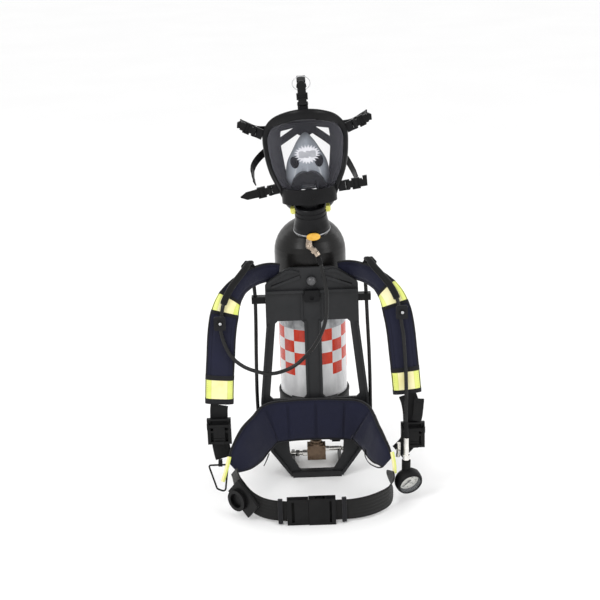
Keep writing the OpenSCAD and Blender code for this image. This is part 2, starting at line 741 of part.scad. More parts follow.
module visor() {
  color("#dfe6ea") at_mask() visor_sheet(0);
}

// Rubber body from the frame back to the turned-in sealing edge; it dips under the chin
function chin(z, k) = z < 110 ? k * pow((110 - z) / 44, 2) : 0;
function back(g, y, k, mix) = [for (p = face(0, g, 14.4)) [p[0], p[1] * (1 - mix) + y * mix,
  p[2] - chin(p[2], k) - crown(p[2], (y - p[1]) * mix)]];
function crown(z, y) = z > 190 ? 0.38 * (z - 190) / 69 * max(0, y) : 0;
module face_seal() {
  color("#18181b") at_mask() difference() {
    skin([back(5, 0, 0, 0), back(6, 48, 0, 0.9), back(7, 62, 30, 1), back(4, 88, 40, 1), back(-3, 97, 38, 1),
      back(-14, 92, 30, 1), back(-13, 89, 30, 1), back(-3, 93, 37, 1), back(1, 84, 36, 1), back(4, 62, 26, 1),
      back(3, 48, -3, 0.9), back(2, 0, 0, 0)], true);
    chin_room();
    at_dv0() cylinder(r = 38, h = 70, $fn = 48);
  }
}

function oval(a, b, n) = [for (i = [0:n - 1]) [a * cos(360 * i / n), b * sin(360 * i / n)]];
module chin_housing() {
  color("#151517") at_mask() {
    difference() {
      union() {
        translate([0, -14, 64.8]) linear_extrude(33) difference() {
          polygon(oval(60, 37, 48));
          polygon(oval(54, 31, 48));
          translate([-70, 10]) square([140, 60]);
        }
        translate([0, -14, 64.8]) linear_extrude(5) polygon(oval(55, 32, 48));
        // arch of the speech and outlet housing, inside the visor
        translate([0, 6, 92]) rotate([90, 0, 0]) difference() {
          cylinder(r = 38, h = 22, $fn = 48);
          translate([0, 0, -1]) cylinder(r = 30, h = 18, $fn = 48);
          translate([-50, -60, -2]) cube([100, 66, 40]);
        }
        for (x = [-38, 30]) translate([x, -16, 69]) cube([8, 22, 30]);
        translate([-38, -15.8, 69]) cube([76, 5, 32]);
        // connector tube towards the demand valve
        at_dv0() translate([0, 0, 44]) cylinder(r = 22.5, h = 40, $fn = 48);
      }
      at_dv0() translate([0, 0, 43]) cylinder(r = 18.5, h = 60, $fn = 48);
      visor_sheet(0.3);
    }
  }
}

module speech_diaphragm() {
  color("#9b9da0") at_mask() translate([0, -9.6, 108]) rotate([90, 0, 0]) cylinder(r = 13, h = 1.2);
}

function nose(s, y) = [for (q = [[0, 205], [-16, 190], [-30, 165], [-43, 140], [-48, 118], [-48, 98], [-38, 82],
  [-18, 76], [18, 76], [38, 82], [48, 98], [48, 118], [43, 140], [30, 165], [16, 190]])
  [q[0] * s, y - (q[1] > 150 ? (q[1] - 150) * 0.35 : 0), 112 + (q[1] - 112) * s]];
module inner_mask() {
  color("#c8ccd2") at_mask() difference() {
    skin([nose(0.62, 8), nose(0.8, 20), nose(0.96, 42), nose(1, 66), nose(0.94, 67), nose(0.91, 43),
      nose(0.75, 21.5), nose(0.57, 9.5)], true);
    both() at_breath() cylinder(r = 13.2, h = 14, center = true);
  }
}

// Seat of an inhalation valve in the inner mask
module at_breath() {
  translate([25.5, 14, 146]) rotate([90, 0, 52]) children();
}

module inhalation_valves() {
  color("#232326") at_mask() both() at_breath() difference() {
    translate([0, 0, -3]) cylinder(r = 13, h = 6.5);
    translate([0, 0, 1.5]) cylinder(r = 9, h = 3);
  }
}

// Head straps: a pad behind the mask with five runs towards the buckles
module head_harness() {
  color("#151518") at_mask() {
    xz(128, 132) polygon([[-22, 232], [22, 232], [30, 214], [26, 196], [14, 182], [-14, 182], [-26, 196],
      [-30, 214]]);
    sweep(smooth([[0, 129, 222], [0, 112, 276], [0, 74, 316], [0, 34, 328], [0, 4, 322]], 3),
      [for (i = [0:12]) [1, 0, 0]], slab(20, 2.4, 0.8));
    both() sweep(smooth([[22, 129, 208], [66, 122, 202], [104, 104, 206], [130, 78, 224], [138, 55, 234]], 3),
      [for (i = [0:12]) [0, 0.2, 1]], slab(18, 2.4, 0.8));
    sweep(smooth([[-20, 129, 192], [-62, 122, 168], [-100, 96, 150], [-121, 58, 130], [-118, 22, 104]], 3),
      [for (i = [0:12]) [-0.3, 0, 1]], slab(18, 2.4, 0.8));
    sweep(smooth([[20, 129, 192], [60, 124, 160], [88, 104, 126], [102, 68, 104], [106, 24, 97]], 3),
      [for (i = [0:12]) [0.3, 0, 1]], slab(18, 2.4, 0.8));
  }
}

// ---- demand valve ----
module at_dv0() {
  rotate([12, 0, 0]) children();
}

module at_dv() {
  at_mask() at_dv0() children();
}

module dv_body() {
  color("#1a1a1c") at_dv() difference() {
    union() {
      rotate_extrude($fn = 64) polygon([[0, -20], [18, -18.5], [30, -14], [37, -8], [dv_r - 1, -2.2],
        [dv_r - 1, 2.2], [dv_r - 2, 10], [37, 18], [35.5, 26], [35, 36], [33.5, 37], [33.5, 40], [35, 41],
        [35, 46], [33.5, 47], [33.5, 50], [35, 51], [35, 56], [33.4, 58], [23, 58], [23, 34], [0, 34]]);
      // boss of the by-pass button
      translate([2, -30, 2]) rotate([90, 0, 0]) cylinder(r = 8.6, h = 12, $fn = 32);
    }
    translate([0, 0, -8]) cylinder(r = 28, h = 32);
    translate([2, -34, 2]) rotate([90, 0, 0]) cylinder(r = 6.6, h = 30, $fn = 32);
    both() translate([26, -7.2, 40]) cube([12, 14.4, 14.2]);
    rod([-8, -30, -8], [-9, -37, -24], 6);
  }
}

module dv_rim_ring() {
  color("#b9bcc0") at_dv() difference() {
    rotate_extrude($fn = 64) polygon([[dv_r - 1, -1.6], [dv_r, -1.6], [dv_r + 0.5, 0], [dv_r, 1.6],
      [dv_r - 1, 1.6]]);
    translate([2, -30, 2]) rotate([90, 0, 0]) cylinder(r = 8.8, h = 20, $fn = 32);
  }
}

module dv_button() {
  color("#e2b13c") at_dv() translate([2, -38, 2]) rotate([90, 0, 0]) {
    translate([0, 0, 0.5]) cylinder(r = 6.5, h = 4, $fn = 32);
    translate([0, 0, 7.4]) linear_extrude(3.6) polygon(oval(15, 8.4, 40));
    translate([0, 0, 4.4]) cylinder(r = 6.5, h = 3.2, $fn = 32);
  }
}

module release() {
  translate([29.6, -7, 40.2]) cube([12.2, 14, 13.8]);
  translate([41.6, -5.5, 42]) cube([2.4, 11, 10]);
}

module dv_release_left() {
  color("#ece873") at_dv() mirror([1, 0, 0]) release();
}

module dv_release_right() {
  color("#ece873") at_dv() release();
}

module dv_swivel() {
  color("#b9aa95") at_dv() {
    rod([-8, -30, -8], [-9, -37, -24], 6);
    rod([-8.6, -34.2, -17.6], [-9, -37, -24], 7.6, n = 6);
    translate([-9, -38, -26]) sphere(r = 7.4, $fn = 32);
    rod([-9, -38, -26], [5, -46, -38], 5.4);
    rod([-1, -42.6, -32.9], [3.4, -45.1, -36.6], 7.4, n = 6);
    rod([5, -46, -38], [9, -49, -44.5], 6);
  }
}

backplate();
latch_housing();
latch_knob();
cylinder_shell();
cylinder_liner();
cylinder_cap();
cylinder_boot();
union() {
  translate([0, 0, 421]) cylinder_band();
  translate([0, 0, 421]) band_ears();
}
band_lever();
valve_body();
valve_handwheel();
reducer_body();
hand_nut();
outlet_fittings();
supply_hose();
gauge_hose();
hose_clips();
hose_keepers();
shoulder_pad_left();
shoulder_pad_right();
reflective_bands();
shoulder_webbing();
adjuster_frames();
adjuster_lever_left();
adjuster_lever_right();
d_ring();
lumbar_pad();
waist_belt();
buckle_socket();
buckle_plug();
prong_upper();
prong_lower();
valve_holder();
gauge_boot();
gauge_dial();
gauge_lens();
gauge_needle();
gauge_swivel();
whistle();
face_seal();
visor();
visor_frame();
chin_housing();
speech_diaphragm();
inner_mask();
inhalation_valves();
buckle_top();
buckle_upper_left();
buckle_upper_right();
buckle_lower_left();
buckle_lower_right();
head_harness();
dv_body();
dv_rim_ring();
dv_button();
dv_release_left();
dv_release_right();
dv_swivel();
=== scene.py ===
import math

import bmesh
import bpy
import numpy as np
from mathutils import Matrix, Vector, noise


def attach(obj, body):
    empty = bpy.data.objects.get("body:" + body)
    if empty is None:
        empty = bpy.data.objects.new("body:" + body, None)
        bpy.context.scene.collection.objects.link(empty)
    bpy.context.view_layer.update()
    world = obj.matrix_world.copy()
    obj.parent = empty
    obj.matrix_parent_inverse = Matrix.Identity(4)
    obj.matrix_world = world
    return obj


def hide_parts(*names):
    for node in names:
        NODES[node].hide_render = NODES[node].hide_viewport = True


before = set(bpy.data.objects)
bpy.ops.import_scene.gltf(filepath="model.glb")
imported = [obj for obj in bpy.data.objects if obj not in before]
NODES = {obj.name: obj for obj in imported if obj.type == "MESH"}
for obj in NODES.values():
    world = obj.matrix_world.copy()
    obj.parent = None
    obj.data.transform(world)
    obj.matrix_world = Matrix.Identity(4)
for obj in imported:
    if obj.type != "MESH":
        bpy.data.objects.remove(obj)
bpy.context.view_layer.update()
MM = 0.001

# ---------------------------------------------------------------- camera
cam = bpy.data.cameras.new("camera")
cam.lens = 76.15
cam.sensor_width = 36
cam_o = bpy.data.objects.new("camera", cam)
bpy.context.scene.collection.objects.link(cam_o)
tilt, roll = math.radians(19), math.radians(2)
fwd = Vector((0, math.cos(tilt), -math.sin(tilt)))
up = Vector((math.sin(roll), math.cos(roll) * math.sin(tilt), math.cos(roll) * math.cos(tilt)))
side = fwd.cross(up)
cam_o.matrix_world = Matrix((
    (side.x, up.x, -fwd.x, -0.0272),
    (side.y, up.y, -fwd.y, -2.742),
    (side.z, up.z, -fwd.z, 1.392),
    (0, 0, 0, 1)))
bpy.context.scene.camera = cam_o
bpy.context.scene.view_settings.view_transform = "Standard"


# ---------------------------------------------------------------- geometry helpers, in millimetres
def A(p):
    return np.array(p, float)


def smooth(p, k, loop=False):
    """A curve through the points p, with k steps from each to the next."""
    p = A(p)
    n = len(p)
    out = []
    for i in range(n if loop else n - 1):
        if loop:
            a, b, c, d = p[i - 1], p[i], p[(i + 1) % n], p[(i + 2) % n]
        else:
            a, b, c, d = p[max(i - 1, 0)], p[i], p[i + 1], p[min(i + 2, n - 1)]
        for j in range(k):
            t = j / k
            out.append(0.5 * (2 * b + (c - a) * t + (2 * a - 5 * b + 4 * c - d) * t * t
                              + (3 * b - a - 3 * c + d) * t ** 3))
    if not loop:
        out.append(p[-1])
    return A(out)


def unit(v):
    return v / np.maximum(np.linalg.norm(v, axis=-1, keepdims=True), 1e-12)


def tang(p, loop=False):
    """Unit tangents along a path."""
    if loop:
        return unit(np.roll(p, -1, 0) - np.roll(p, 1, 0))
    q = np.concatenate([p[:1], p, p[-1:]])
    return unit(q[2:] - q[:-2])


def square(w, t):
    """The directions w, made square to the tangents t."""
    w = np.broadcast_to(A(w), t.shape)
    return unit(w - (w * t).sum(-1, keepdims=True) * t)


def carry(t):
    """One side direction carried along a path without twist."""
    u = A([0, 0, 1]) if abs(t[0][2]) < 0.9 else A([0, 1, 0])
    out = []
    for q in t:
        u = unit(u - (u @ q) * q)
        out.append(u)
    return A(out)


def run(p):
    """Length along a path at each of its points."""
    return np.concatenate([[0], np.cumsum(np.linalg.norm(np.diff(p, axis=0), axis=1))])


def part(name, verts, faces, mat, body="carrier", uv=None, angle=40):
    """A mesh from points in millimetres, smooth up to the given angle, riding a body unless body is None."""
    me = bpy.data.meshes.new(name)
    me.from_pydata([tuple(v * MM) for v in A(verts)], [], faces)
    if uv is not None:
        layer = me.uv_layers.new(name="UVMap")
        idx = np.empty(len(me.loops), int)
        me.loops.foreach_get("vertex_index", idx)
        layer.data.foreach_set("uv", (A(uv)[idx] * MM).astype(np.float32).ravel())
    bm = bmesh.new()
    bm.from_mesh(me)
    bmesh.ops.recalc_face_normals(bm, faces=bm.faces)
    bm.to_mesh(me)
    bm.free()
    me.polygons.foreach_set("use_smooth", [True] * len(me.polygons))
    me.set_sharp_from_angle(angle=math.radians(angle))
    me.materials.append(mat)
    o = bpy.data.objects.new(name, me)
    bpy.context.scene.collection.objects.link(o)
    if body:
        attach(o, body)
    return o


def grid(m, n, loop=False):
    """Quads between m rings of n points. A loop also joins the last ring to the first."""
    return [(i * n + j, i * n + (j + 1) % n, ((i + 1) % m) * n + (j + 1) % n, ((i + 1) % m) * n + j)
            for i in range(m if loop else m - 1) for j in range(n)]


def loft(name, rings, mat, body="carrier", loop=False, angle=40, uv=True):
    """A closed skin over rings of points, with flat ends unless it is a loop. Its UV map is in metres."""
    rings = A(rings)
    m, n = rings.shape[:2]
    along, across = run(rings.mean(1)), run(rings[m // 2])
    uvs = np.array([[along[i], across[j]] for i in range(m) for j in range(n)])
    faces = grid(m, n, loop)
    if not loop:
        faces.append(tuple(range(n - 1, -1, -1)))
        faces.append(tuple((m - 1) * n + j for j in range(n)))
    return part(name, rings.reshape(-1, 3), faces, mat, body, uvs if uv else None, angle)


def axes_along(p, w):
    """Along a path: the breadth direction nearest w, and the thickness direction square to it."""
    t = tang(p)
    a = square(w, t)
    return a, np.cross(t, a)


def sweep_rings(p, w, sections):
    a, b = axes_along(p, w)
    return A([p[i] + np.outer(s[:, 0], a[i]) + np.outer(s[:, 1], b[i])
              for i, s in enumerate(sections)])


def frontal(p):
    """The breadth direction that makes a strap along the path face forwards."""
    t = tang(p)
    return unit(np.stack([t[:, 2], np.full(len(t), 1e-4), -t[:, 0]], 1))


def circle(n):
    th = np.arange(n) * 2 * math.pi / n
    return np.stack([np.cos(th), np.sin(th)], 1)


def tube(name, p, r, mat, angle=50):
    radii = np.broadcast_to(A(r), (len(p),))
    return loft(name, sweep_rings(p, carry(tang(p)), [circle(24) * q for q in radii]), mat, angle=angle)


def slab(w, t, n=5):
    """A flat strap's section: round selvedges, a little thicker than the middle."""
    h = t / 2
    top = [(-w / 2 + h, h * 1.15), (-w / 2 + 3 * h, h)] + [(w * (k / n - 0.5), h) for k in range(1, n)] \
        + [(w / 2 - 3 * h, h), (w / 2 - h, h * 1.15)]
    end = [(w / 2 - 0.3 * h, h * 0.6), (w / 2, 0), (w / 2 - 0.3 * h, -h * 0.6)]
    return A(top + end + [(-x, -y) for x, y in top] + [(-x, -y) for x, y in end])


def strap(name, p, w, width, thick, mat):
    p = A(p)
    return loft(name, sweep_rings(p, w, [slab(width, thick)] * len(p)), mat, angle=60)


def stitches(name, p, nrm, pitch=4.6, length=3.0, r=0.42):
    """A row of raised thread stitches on the carrier, along a line that lies on a surface."""
    p, nrm = A(p), np.broadcast_to(A(nrm), A(p).shape)
    s = run(p)
    verts, faces = [], []
    for k in range(int((s[-1] - length) // pitch)):
        a = k * pitch + 1.0
        pts = [A([np.interp(a + f * length, s, p[:, c]) for c in range(3)]) for f in (0, 0.3, 0.7, 1)]
        nn = unit(A([np.interp(a + length / 2, s, nrm[:, c]) for c in range(3)]))
        t = unit(pts[3] - pts[0])
        q = unit(np.cross(t, nn))
        base = len(verts)
        verts.append(pts[0] - nn * 0.2)
        for m in (1, 2):
            for c, d in ((1, 0), (0.3, 1), (-0.3, 1), (-1, 0), (0, -0.8)):
                verts.append(pts[m] + q * c * r + nn * d * r)
        verts.append(pts[3] - nn * 0.2)
        for j in range(5):
            j2 = (j + 1) % 5
            faces.append((base, base + 1 + j2, base + 1 + j))
            faces.append((base + 1 + j, base + 1 + j2, base + 6 + j2, base + 6 + j))
            faces.append((base + 11, base + 6 + j, base + 6 + j2))
    return part(name, verts, faces, thread_mat, angle=60)


def disc_part(name, profile, m, mat, body="carrier", n=40):
    """A turned part: profile is (radius, height) pairs, m a 4x4 matrix in millimetres."""
    rings = [np.c_[circle(n) * radius, np.full(n, h)] @ m[:3, :3].T + m[:3, 3] for radius, h in profile]
    return loft(name, rings, mat, body, angle=35)


def place(origin, z_axis):
    """A 4x4 matrix at the origin given, its Z along z_axis and its X as near world X as it can be."""
    z = unit(A(z_axis))
    x = A([1, 0, 0])
    x = unit(x - (x @ z) * z)
    m = np.eye(4)
    m[:3, 0], m[:3, 1], m[:3, 2], m[:3, 3] = x, np.cross(z, x), z, A(origin)
    return m


# ---------------------------------------------------------------- material helpers
class Mat:
    """A node material under construction. Values set Principled sockets by name."""

    def __init__(self, name, **values):
        self.m = bpy.data.materials.new(name)
        self.m.use_nodes = True
        self.t = self.m.node_tree
        self.b = self.t.nodes["Principled BSDF"]
        self.tc = self.n("ShaderNodeTexCoord")
        for k, v in values.items():
            self.b.inputs[k.replace("_", " ")].default_value = v

    def n(self, kind, sockets=None, **k):
        x = self.t.nodes.new(kind)
        for a, v in k.items():
            setattr(x, a, v)
        for a, v in (sockets or {}).items():
            x.inputs[a].default_value = v
        return x

    def l(self, a, b):
        self.t.links.new(a, b)

    def axes(self, coord):
        x = self.n("ShaderNodeSeparateXYZ")
        self.l(self.tc.outputs[coord], x.inputs[0])
        return x.outputs

    def noise(self, scale, detail=3.0, stretch=None, rough=0.55):
        x = self.n("ShaderNodeTexNoise", {"Scale": scale, "Detail": detail, "Roughness": rough})
        src = self.tc.outputs["Object"]
        if stretch:
            mp = self.n("ShaderNodeMapping", {"Scale": stretch})
            self.l(src, mp.inputs["Vector"])
            src = mp.outputs["Vector"]
        self.l(src, x.inputs["Vector"])
        return x.outputs["Fac"]

    def ramp(self, fac, stops):
        x = self.n("ShaderNodeValToRGB")
        el = x.color_ramp.elements
        while len(el) < len(stops):
            el.new(0.5)
        for q, (pos, col) in zip(el, stops):
            q.position = pos
            q.color = (*col, 1) if len(col) == 3 else col
        self.l(fac, x.inputs["Fac"])
        return x.outputs["Color"]

    def math(self, op, a, b=None):
        x = self.n("ShaderNodeMath", operation=op)
        for i, v in enumerate((a, b)):
            if v is None:
                continue
            if isinstance(v, (int, float)):
                x.inputs[i].default_value = v
            else:
                self.l(v, x.inputs[i])
        return x.outputs[0]

    def range(self, fac, lo, hi, a=0.3, b=0.7):
        x = self.n("ShaderNodeMapRange", {"From Min": a, "From Max": b, "To Min": lo, "To Max": hi})
        self.l(fac, x.inputs["Value"])
        return x.outputs["Result"]

    def mix(self, fac, a, b, mode="MIX"):
        x = self.n("ShaderNodeMix", data_type="RGBA", blend_type=mode)
        for socket, v in (("Factor", fac), ("A", a), ("B", b)):
            s = [i for i in x.inputs if i.name == socket and (i.type == "RGBA" or socket == "Factor")][0]
            if isinstance(v, (int, float)):
                s.default_value = v
            elif isinstance(v, tuple):
                s.default_value = (*v, 1)
            else:
                self.l(v, s)
        return [o for o in x.outputs if o.type == "RGBA"][0]

    def bump(self, height, strength, distance, normal=None):
        x = self.n("ShaderNodeBump", {"Strength": strength, "Distance": distance})
        self.l(height, x.inputs["Height"])
        if normal is not None:
            self.l(normal, x.inputs["Normal"])
        return x.outputs["Normal"]

    def bevel(self, radius):
        return self.n("ShaderNodeBevel", {"Radius": radius}, samples=4).outputs["Normal"]

    def out(self, color=None, rough=None, normal=None):
        for v, s in ((color, "Base Color"), (rough, "Roughness"), (normal, "Normal")):
            if v is not None:
                self.l(v, self.b.inputs[s])
        return self.m


DARK = 0.08


def deep(c, k=0.32):
    """A nearly black colour, lowered for the bright studio."""
    return c and tuple(k * q for q in c)


def moulded(name, c1, c2, rough, grain=1400, bump=0.25, patch=28, bevel=0.0007, scuff=None, stretch=None,
            **values):
    """Moulded plastic, rubber or metal: mottled colour, fine grain in gloss and relief, rubbed patches."""
    if max(c2) < DARK:
        c1, c2, scuff = deep(c1), deep(c2), deep(scuff)
        values.setdefault("Specular_IOR_Level", 0.17)
    m = Mat(name, **values)
    big = m.noise(patch, 5, stretch)
    fine = m.noise(grain, 2, stretch)
    col = m.ramp(big, [(0.32, c1), (0.68, c2)])
    if scuff:
        worn = m.noise(patch * 2.7, 8, rough=0.72)
        col = m.mix(m.range(worn, 0, 0.55, 0.6, 0.74), col, scuff)
    rg = m.math("ADD", m.range(big, rough[0], rough[1]), m.range(fine, -0.05, 0.05))
    nrm = m.bump(fine, bump, 0.00012, m.bevel(bevel) if bevel else None)
    return m.out(col, rg, nrm)


def woven(name, c1, c2, pitch, rough=0.82, bump=0.6, **values):
    """Plain woven cloth on a piece's own UV map, which is in metres."""
    m = Mat(name, Specular_IOR_Level=0.2, **values)
    c1, c2 = deep(c1, 0.55), deep(c2, 0.55)
    sx = m.axes("UV")
    u = m.math("SINE", m.math("MULTIPLY", sx[0], 2 * math.pi / pitch))
    v = m.math("SINE", m.math("MULTIPLY", sx[1], 2 * math.pi / pitch))
    h = m.math("MULTIPLY", u, v)
    big = m.noise(22, 5)
    fibre = m.noise(2600, 2)
    col = m.ramp(m.math("ADD", m.math("MULTIPLY", big, 0.75), m.math("MULTIPLY", h, 0.07)),
                 [(0.25, c1), (0.6, c2)])
    col = m.mix(m.range(fibre, 0, 0.25), col, tuple(min(1, 1.9 * q + 0.01) for q in c2))
    return m.out(col, m.range(big, rough - 0.08, rough + 0.08),
                 m.bump(m.math("ADD", h, m.math("MULTIPLY", fibre, 0.6)), bump, 0.0002))


def webbing(name, c1, c2, pitch=1.9, rough=0.7, **values):
    """Herringbone ribs of strap webbing along the piece's length."""
    pitch *= MM
    m = Mat(name, Specular_IOR_Level=0.2, **values)
    c1, c2 = deep(c1, 0.42), deep(c2, 0.42)
    sx = m.axes("UV")
    zig = m.math("PINGPONG", sx[1], 0.0042)
    w = m.math("SINE", m.math("MULTIPLY", m.math("ADD", sx[0], zig), 2 * math.pi / pitch))
    cord = m.math("SINE", m.math("MULTIPLY", sx[1], 2 * math.pi / 0.0014))
    big = m.noise(35, 5)
    h = m.math("ADD", w, m.math("MULTIPLY", cord, 0.4))
    tone = m.math("ADD", m.math("MULTIPLY", big, 0.8), m.math("MULTIPLY", w, 0.09))
    col = m.ramp(tone, [(0.25, c1), (0.62, c2)])
    return m.out(col, m.range(big, rough - 0.07, rough + 0.1), m.bump(h, 0.55, 0.00022))


INK = (0.008, 0.008, 0.009)
frame_mat = moulded("frame_moulding", (0.039, 0.041, 0.045), (0.066, 0.067, 0.072), (0.42, 0.58), 900, 0.5,
                    16, 0.0012, (0.13, 0.13, 0.137), Specular_IOR_Level=0.25)
latch_mat = moulded("latch_moulding", (0.010, 0.010, 0.012), (0.022, 0.022, 0.025), (0.34, 0.5), 1200, 0.3)
knob_mat = moulded("knob_plastic", (0.06, 0.06, 0.063), (0.095, 0.095, 0.099), (0.26, 0.4), 1100, 0.25)
cap_mat = moulded("cap_rubber", (0.0065, 0.006, 0.0058), (0.014, 0.012, 0.011), (0.24, 0.38), 700, 0.3, 14,
                  0.001, (0.035, 0.03, 0.027), Specular_IOR_Level=0.26)
boot_mat = moulded("boot_rubber", INK, (0.02, 0.02, 0.021), (0.45, 0.62), 800, 0.4)
wheel_mat = moulded("wheel_rubber", INK, (0.018, 0.018, 0.02), (0.5, 0.7), 1000, 0.5)
hose_mat = moulded("hose_rubber", (0.010, 0.010, 0.0105), (0.022, 0.022, 0.023), (0.22, 0.34), 1800, 0.25,
                   30, 0, Specular_IOR_Level=0.3)
clip_mat = moulded("clip_plastic", INK, (0.016, 0.016, 0.018), (0.35, 0.5))
buckle_mat = moulded("buckle_moulding", (0.009, 0.009, 0.0095), (0.02, 0.02, 0.021), (0.3, 0.46), 1500, 0.35,
                     30, 0.0009, (0.045, 0.045, 0.048))
seal_mat = moulded("seal_rubber", (0.008, 0.008, 0.010), (0.02, 0.02, 0.024), (0.34, 0.5), 1300, 0.25, 24, 0)
valve_mat = moulded("valve_moulding", (0.007, 0.007, 0.0085), (0.017, 0.017, 0.02), (0.24, 0.4), 1300, 0.25,
                    26, 0.0008, (0.04, 0.04, 0.045))
needle_mat = moulded("needle_black", (0.01, 0.01, 0.01), (0.02, 0.02, 0.02), (0.4, 0.5), 900, 0.1, 60, 0)
ink_mat = moulded("dial_ink", (0.02, 0.02, 0.02), (0.04, 0.04, 0.04), (0.5, 0.6), 900, 0.1, 60, 0)
thread_mat = moulded("thread_dark", (0.012, 0.012, 0.02), (0.03, 0.03, 0.04), (0.6, 0.75), 2500, 0.4, 60, 0)

steel_mat = moulded("steel_brushed", (0.42, 0.42, 0.43), (0.62, 0.62, 0.63), (0.22, 0.38), 500, 0.3, 40,
                    0.0004, None, (1, 1, 14), Metallic=1.0)
ring_mat = moulded("rim_steel", (0.28, 0.28, 0.29), (0.44, 0.44, 0.45), (0.22, 0.38), 500, 0.3, 40, 0.0004,
                   Metallic=1.0)
plated_mat = moulded("plated_brass", (0.44, 0.40, 0.33), (0.62, 0.58, 0.50), (0.22, 0.38), 700, 0.25, 45,
                     0.0006, (0.34, 0.27, 0.18), Metallic=1.0)
reducer_mat = moulded("reducer_bronze", (0.17, 0.115, 0.075), (0.27, 0.19, 0.13), (0.34, 0.52), 900, 0.4, 60,
                      0.0008, (0.36, 0.28, 0.2), Metallic=0.75)
chrome_mat = moulded("chrome_fitting", (0.70, 0.68, 0.64), (0.86, 0.84, 0.80), (0.08, 0.2), 600, 0.12, 70,
                     0.0005, Metallic=1.0)
warm_chrome = moulded("warm_chrome", (0.28, 0.22, 0.17), (0.55, 0.46, 0.37), (0.16, 0.3), 600, 0.15, 70,
                      0.0005, (0.36, 0.26, 0.18), Metallic=1.0)
grille_mat = moulded("speech_plate", (0.10, 0.10, 0.105), (0.18, 0.18, 0.19), (0.4, 0.55), 900, 0.4, 60,
                     0.0003, Metallic=0.9)

amber_mat = moulded("amber_button", (0.62, 0.33, 0.03), (0.78, 0.45, 0.06), (0.25, 0.38), 900, 0.2, 60,
                    0.0008, (0.85, 0.62, 0.2))
pale_mat = moulded("pale_yellow", (0.68, 0.66, 0.12), (0.82, 0.80, 0.22), (0.28, 0.42), 900, 0.2, 60, 0.0008)
red_mat = moulded("needle_red", (0.55, 0.03, 0.02), (0.65, 0.05, 0.03), (0.4, 0.5), 900, 0.1, 60, 0)
inner_mat = moulded("inner_silicone", (0.30, 0.33, 0.37), (0.40, 0.43, 0.48), (0.5, 0.65), 600, 0.2, 20, 0,
                    Specular_IOR_Level=0.2)
sticker_mat = moulded("sticker_white", (0.56, 0.56, 0.60), (0.66, 0.66, 0.69), (0.55, 0.7), 900, 0.15, 60, 0,
                      Specular_IOR_Level=0.2)
panel_mat = moulded("sticker_panel", (0.30, 0.305, 0.33), (0.37, 0.375, 0.40), (0.55, 0.7), 900, 0.15, 80, 0,
                    Specular_IOR_Level=0.2)

pad_mat = woven("pad_cloth", (0.010, 0.0115, 0.034), (0.019, 0.021, 0.052), 1.5 * MM, Sheen_Weight=0.25,
                Sheen_Roughness=0.4)
bind_mat = woven("binding_tape", (0.006, 0.006, 0.008), (0.014, 0.014, 0.018), 1.0 * MM, Sheen_Weight=0.15)
web_mat = webbing("strap_webbing", (0.006, 0.006, 0.0065), (0.017, 0.017, 0.018), Sheen_Weight=0.15,
                  Sheen_Roughness=0.45)
belt_mat = webbing("belt_webbing", (0.009, 0.009, 0.009), (0.023, 0.022, 0.021), 2.2, Sheen_Weight=0.2,
                   Sheen_Roughness=0.45)


def clear_mat(name, tint, thin, edge, rough):
    """Clear moulding: almost unseen face on, a painted grey sheen where it turns away, standing for its
    reflection.
    """
    m = Mat(name, Specular_IOR_Level=0.22)
    painted_sheen_facing = m.n("ShaderNodeLayerWeight", {"Blend": 0.5})
    # painted reflection: more of the grey base colour shows where the surface turns away from the view
    turned = m.math("MULTIPLY", m.math("POWER", painted_sheen_facing.outputs["Facing"], 2.0), edge)
    m.l(m.math("ADD", thin, turned), m.b.inputs["Alpha"])
    m.b.inputs["Base Color"].default_value = (*tint, 1)
    return m.out(None, m.range(m.noise(30, 6), *rough), m.bump(m.noise(300, 2), 0.02, 0.0001))


visor_mat = clear_mat("visor_clear", (0.24, 0.24, 0.28), 0.05, 0.5, (0.05, 0.14))
lens_mat = clear_mat("lens_clear", (0.6, 0.62, 0.64), 0.04, 0.4, (0.02, 0.06))


def reflective():
    """Lime tape with a pale silver stripe down the middle, a fine prism pattern and sewn edges."""
    m = Mat("reflective_tape", Specular_IOR_Level=0.6, Sheen_Weight=0.1)
    sx = m.axes("UV")
    cells = m.n("ShaderNodeTexVoronoi", {"Scale": 420})
    m.l(m.tc.outputs["UV"], cells.inputs["Vector"])
    mid = m.math("ABSOLUTE", sx[1])
    tone = m.range(mid, 0, 1, 0.0172, 0.0182)
    soft = m.noise(26, 4)
    pale = m.ramp(soft, [(0.3, (0.80, 0.72, 0.30)), (0.7, (0.88, 0.83, 0.48))])
    lime = m.ramp(soft, [(0.3, (0.62, 0.68, 0.12)), (0.7, (0.74, 0.78, 0.22))])
    col = m.mix(tone, pale, lime)
    seam = m.range(m.math("ABSOLUTE", m.math("SUBTRACT", mid, 0.0177)), 1, 0, 0.0003, 0.0007)
    col = m.mix(m.math("MULTIPLY", seam, 0.35), col, (0.33, 0.36, 0.05))
    return m.out(col, m.range(soft, 0.32, 0.5), m.bump(cells.outputs["Distance"], 0.35, 0.00025))


tape_mat = reflective()


AXIS_Y = 0.096
CHECKS_ROUND, CHECK_ROWS, CHECK_LOW, CHECK_HIGH = 16, 4, 0.250, 0.029
SILVER_FROM = 0.367


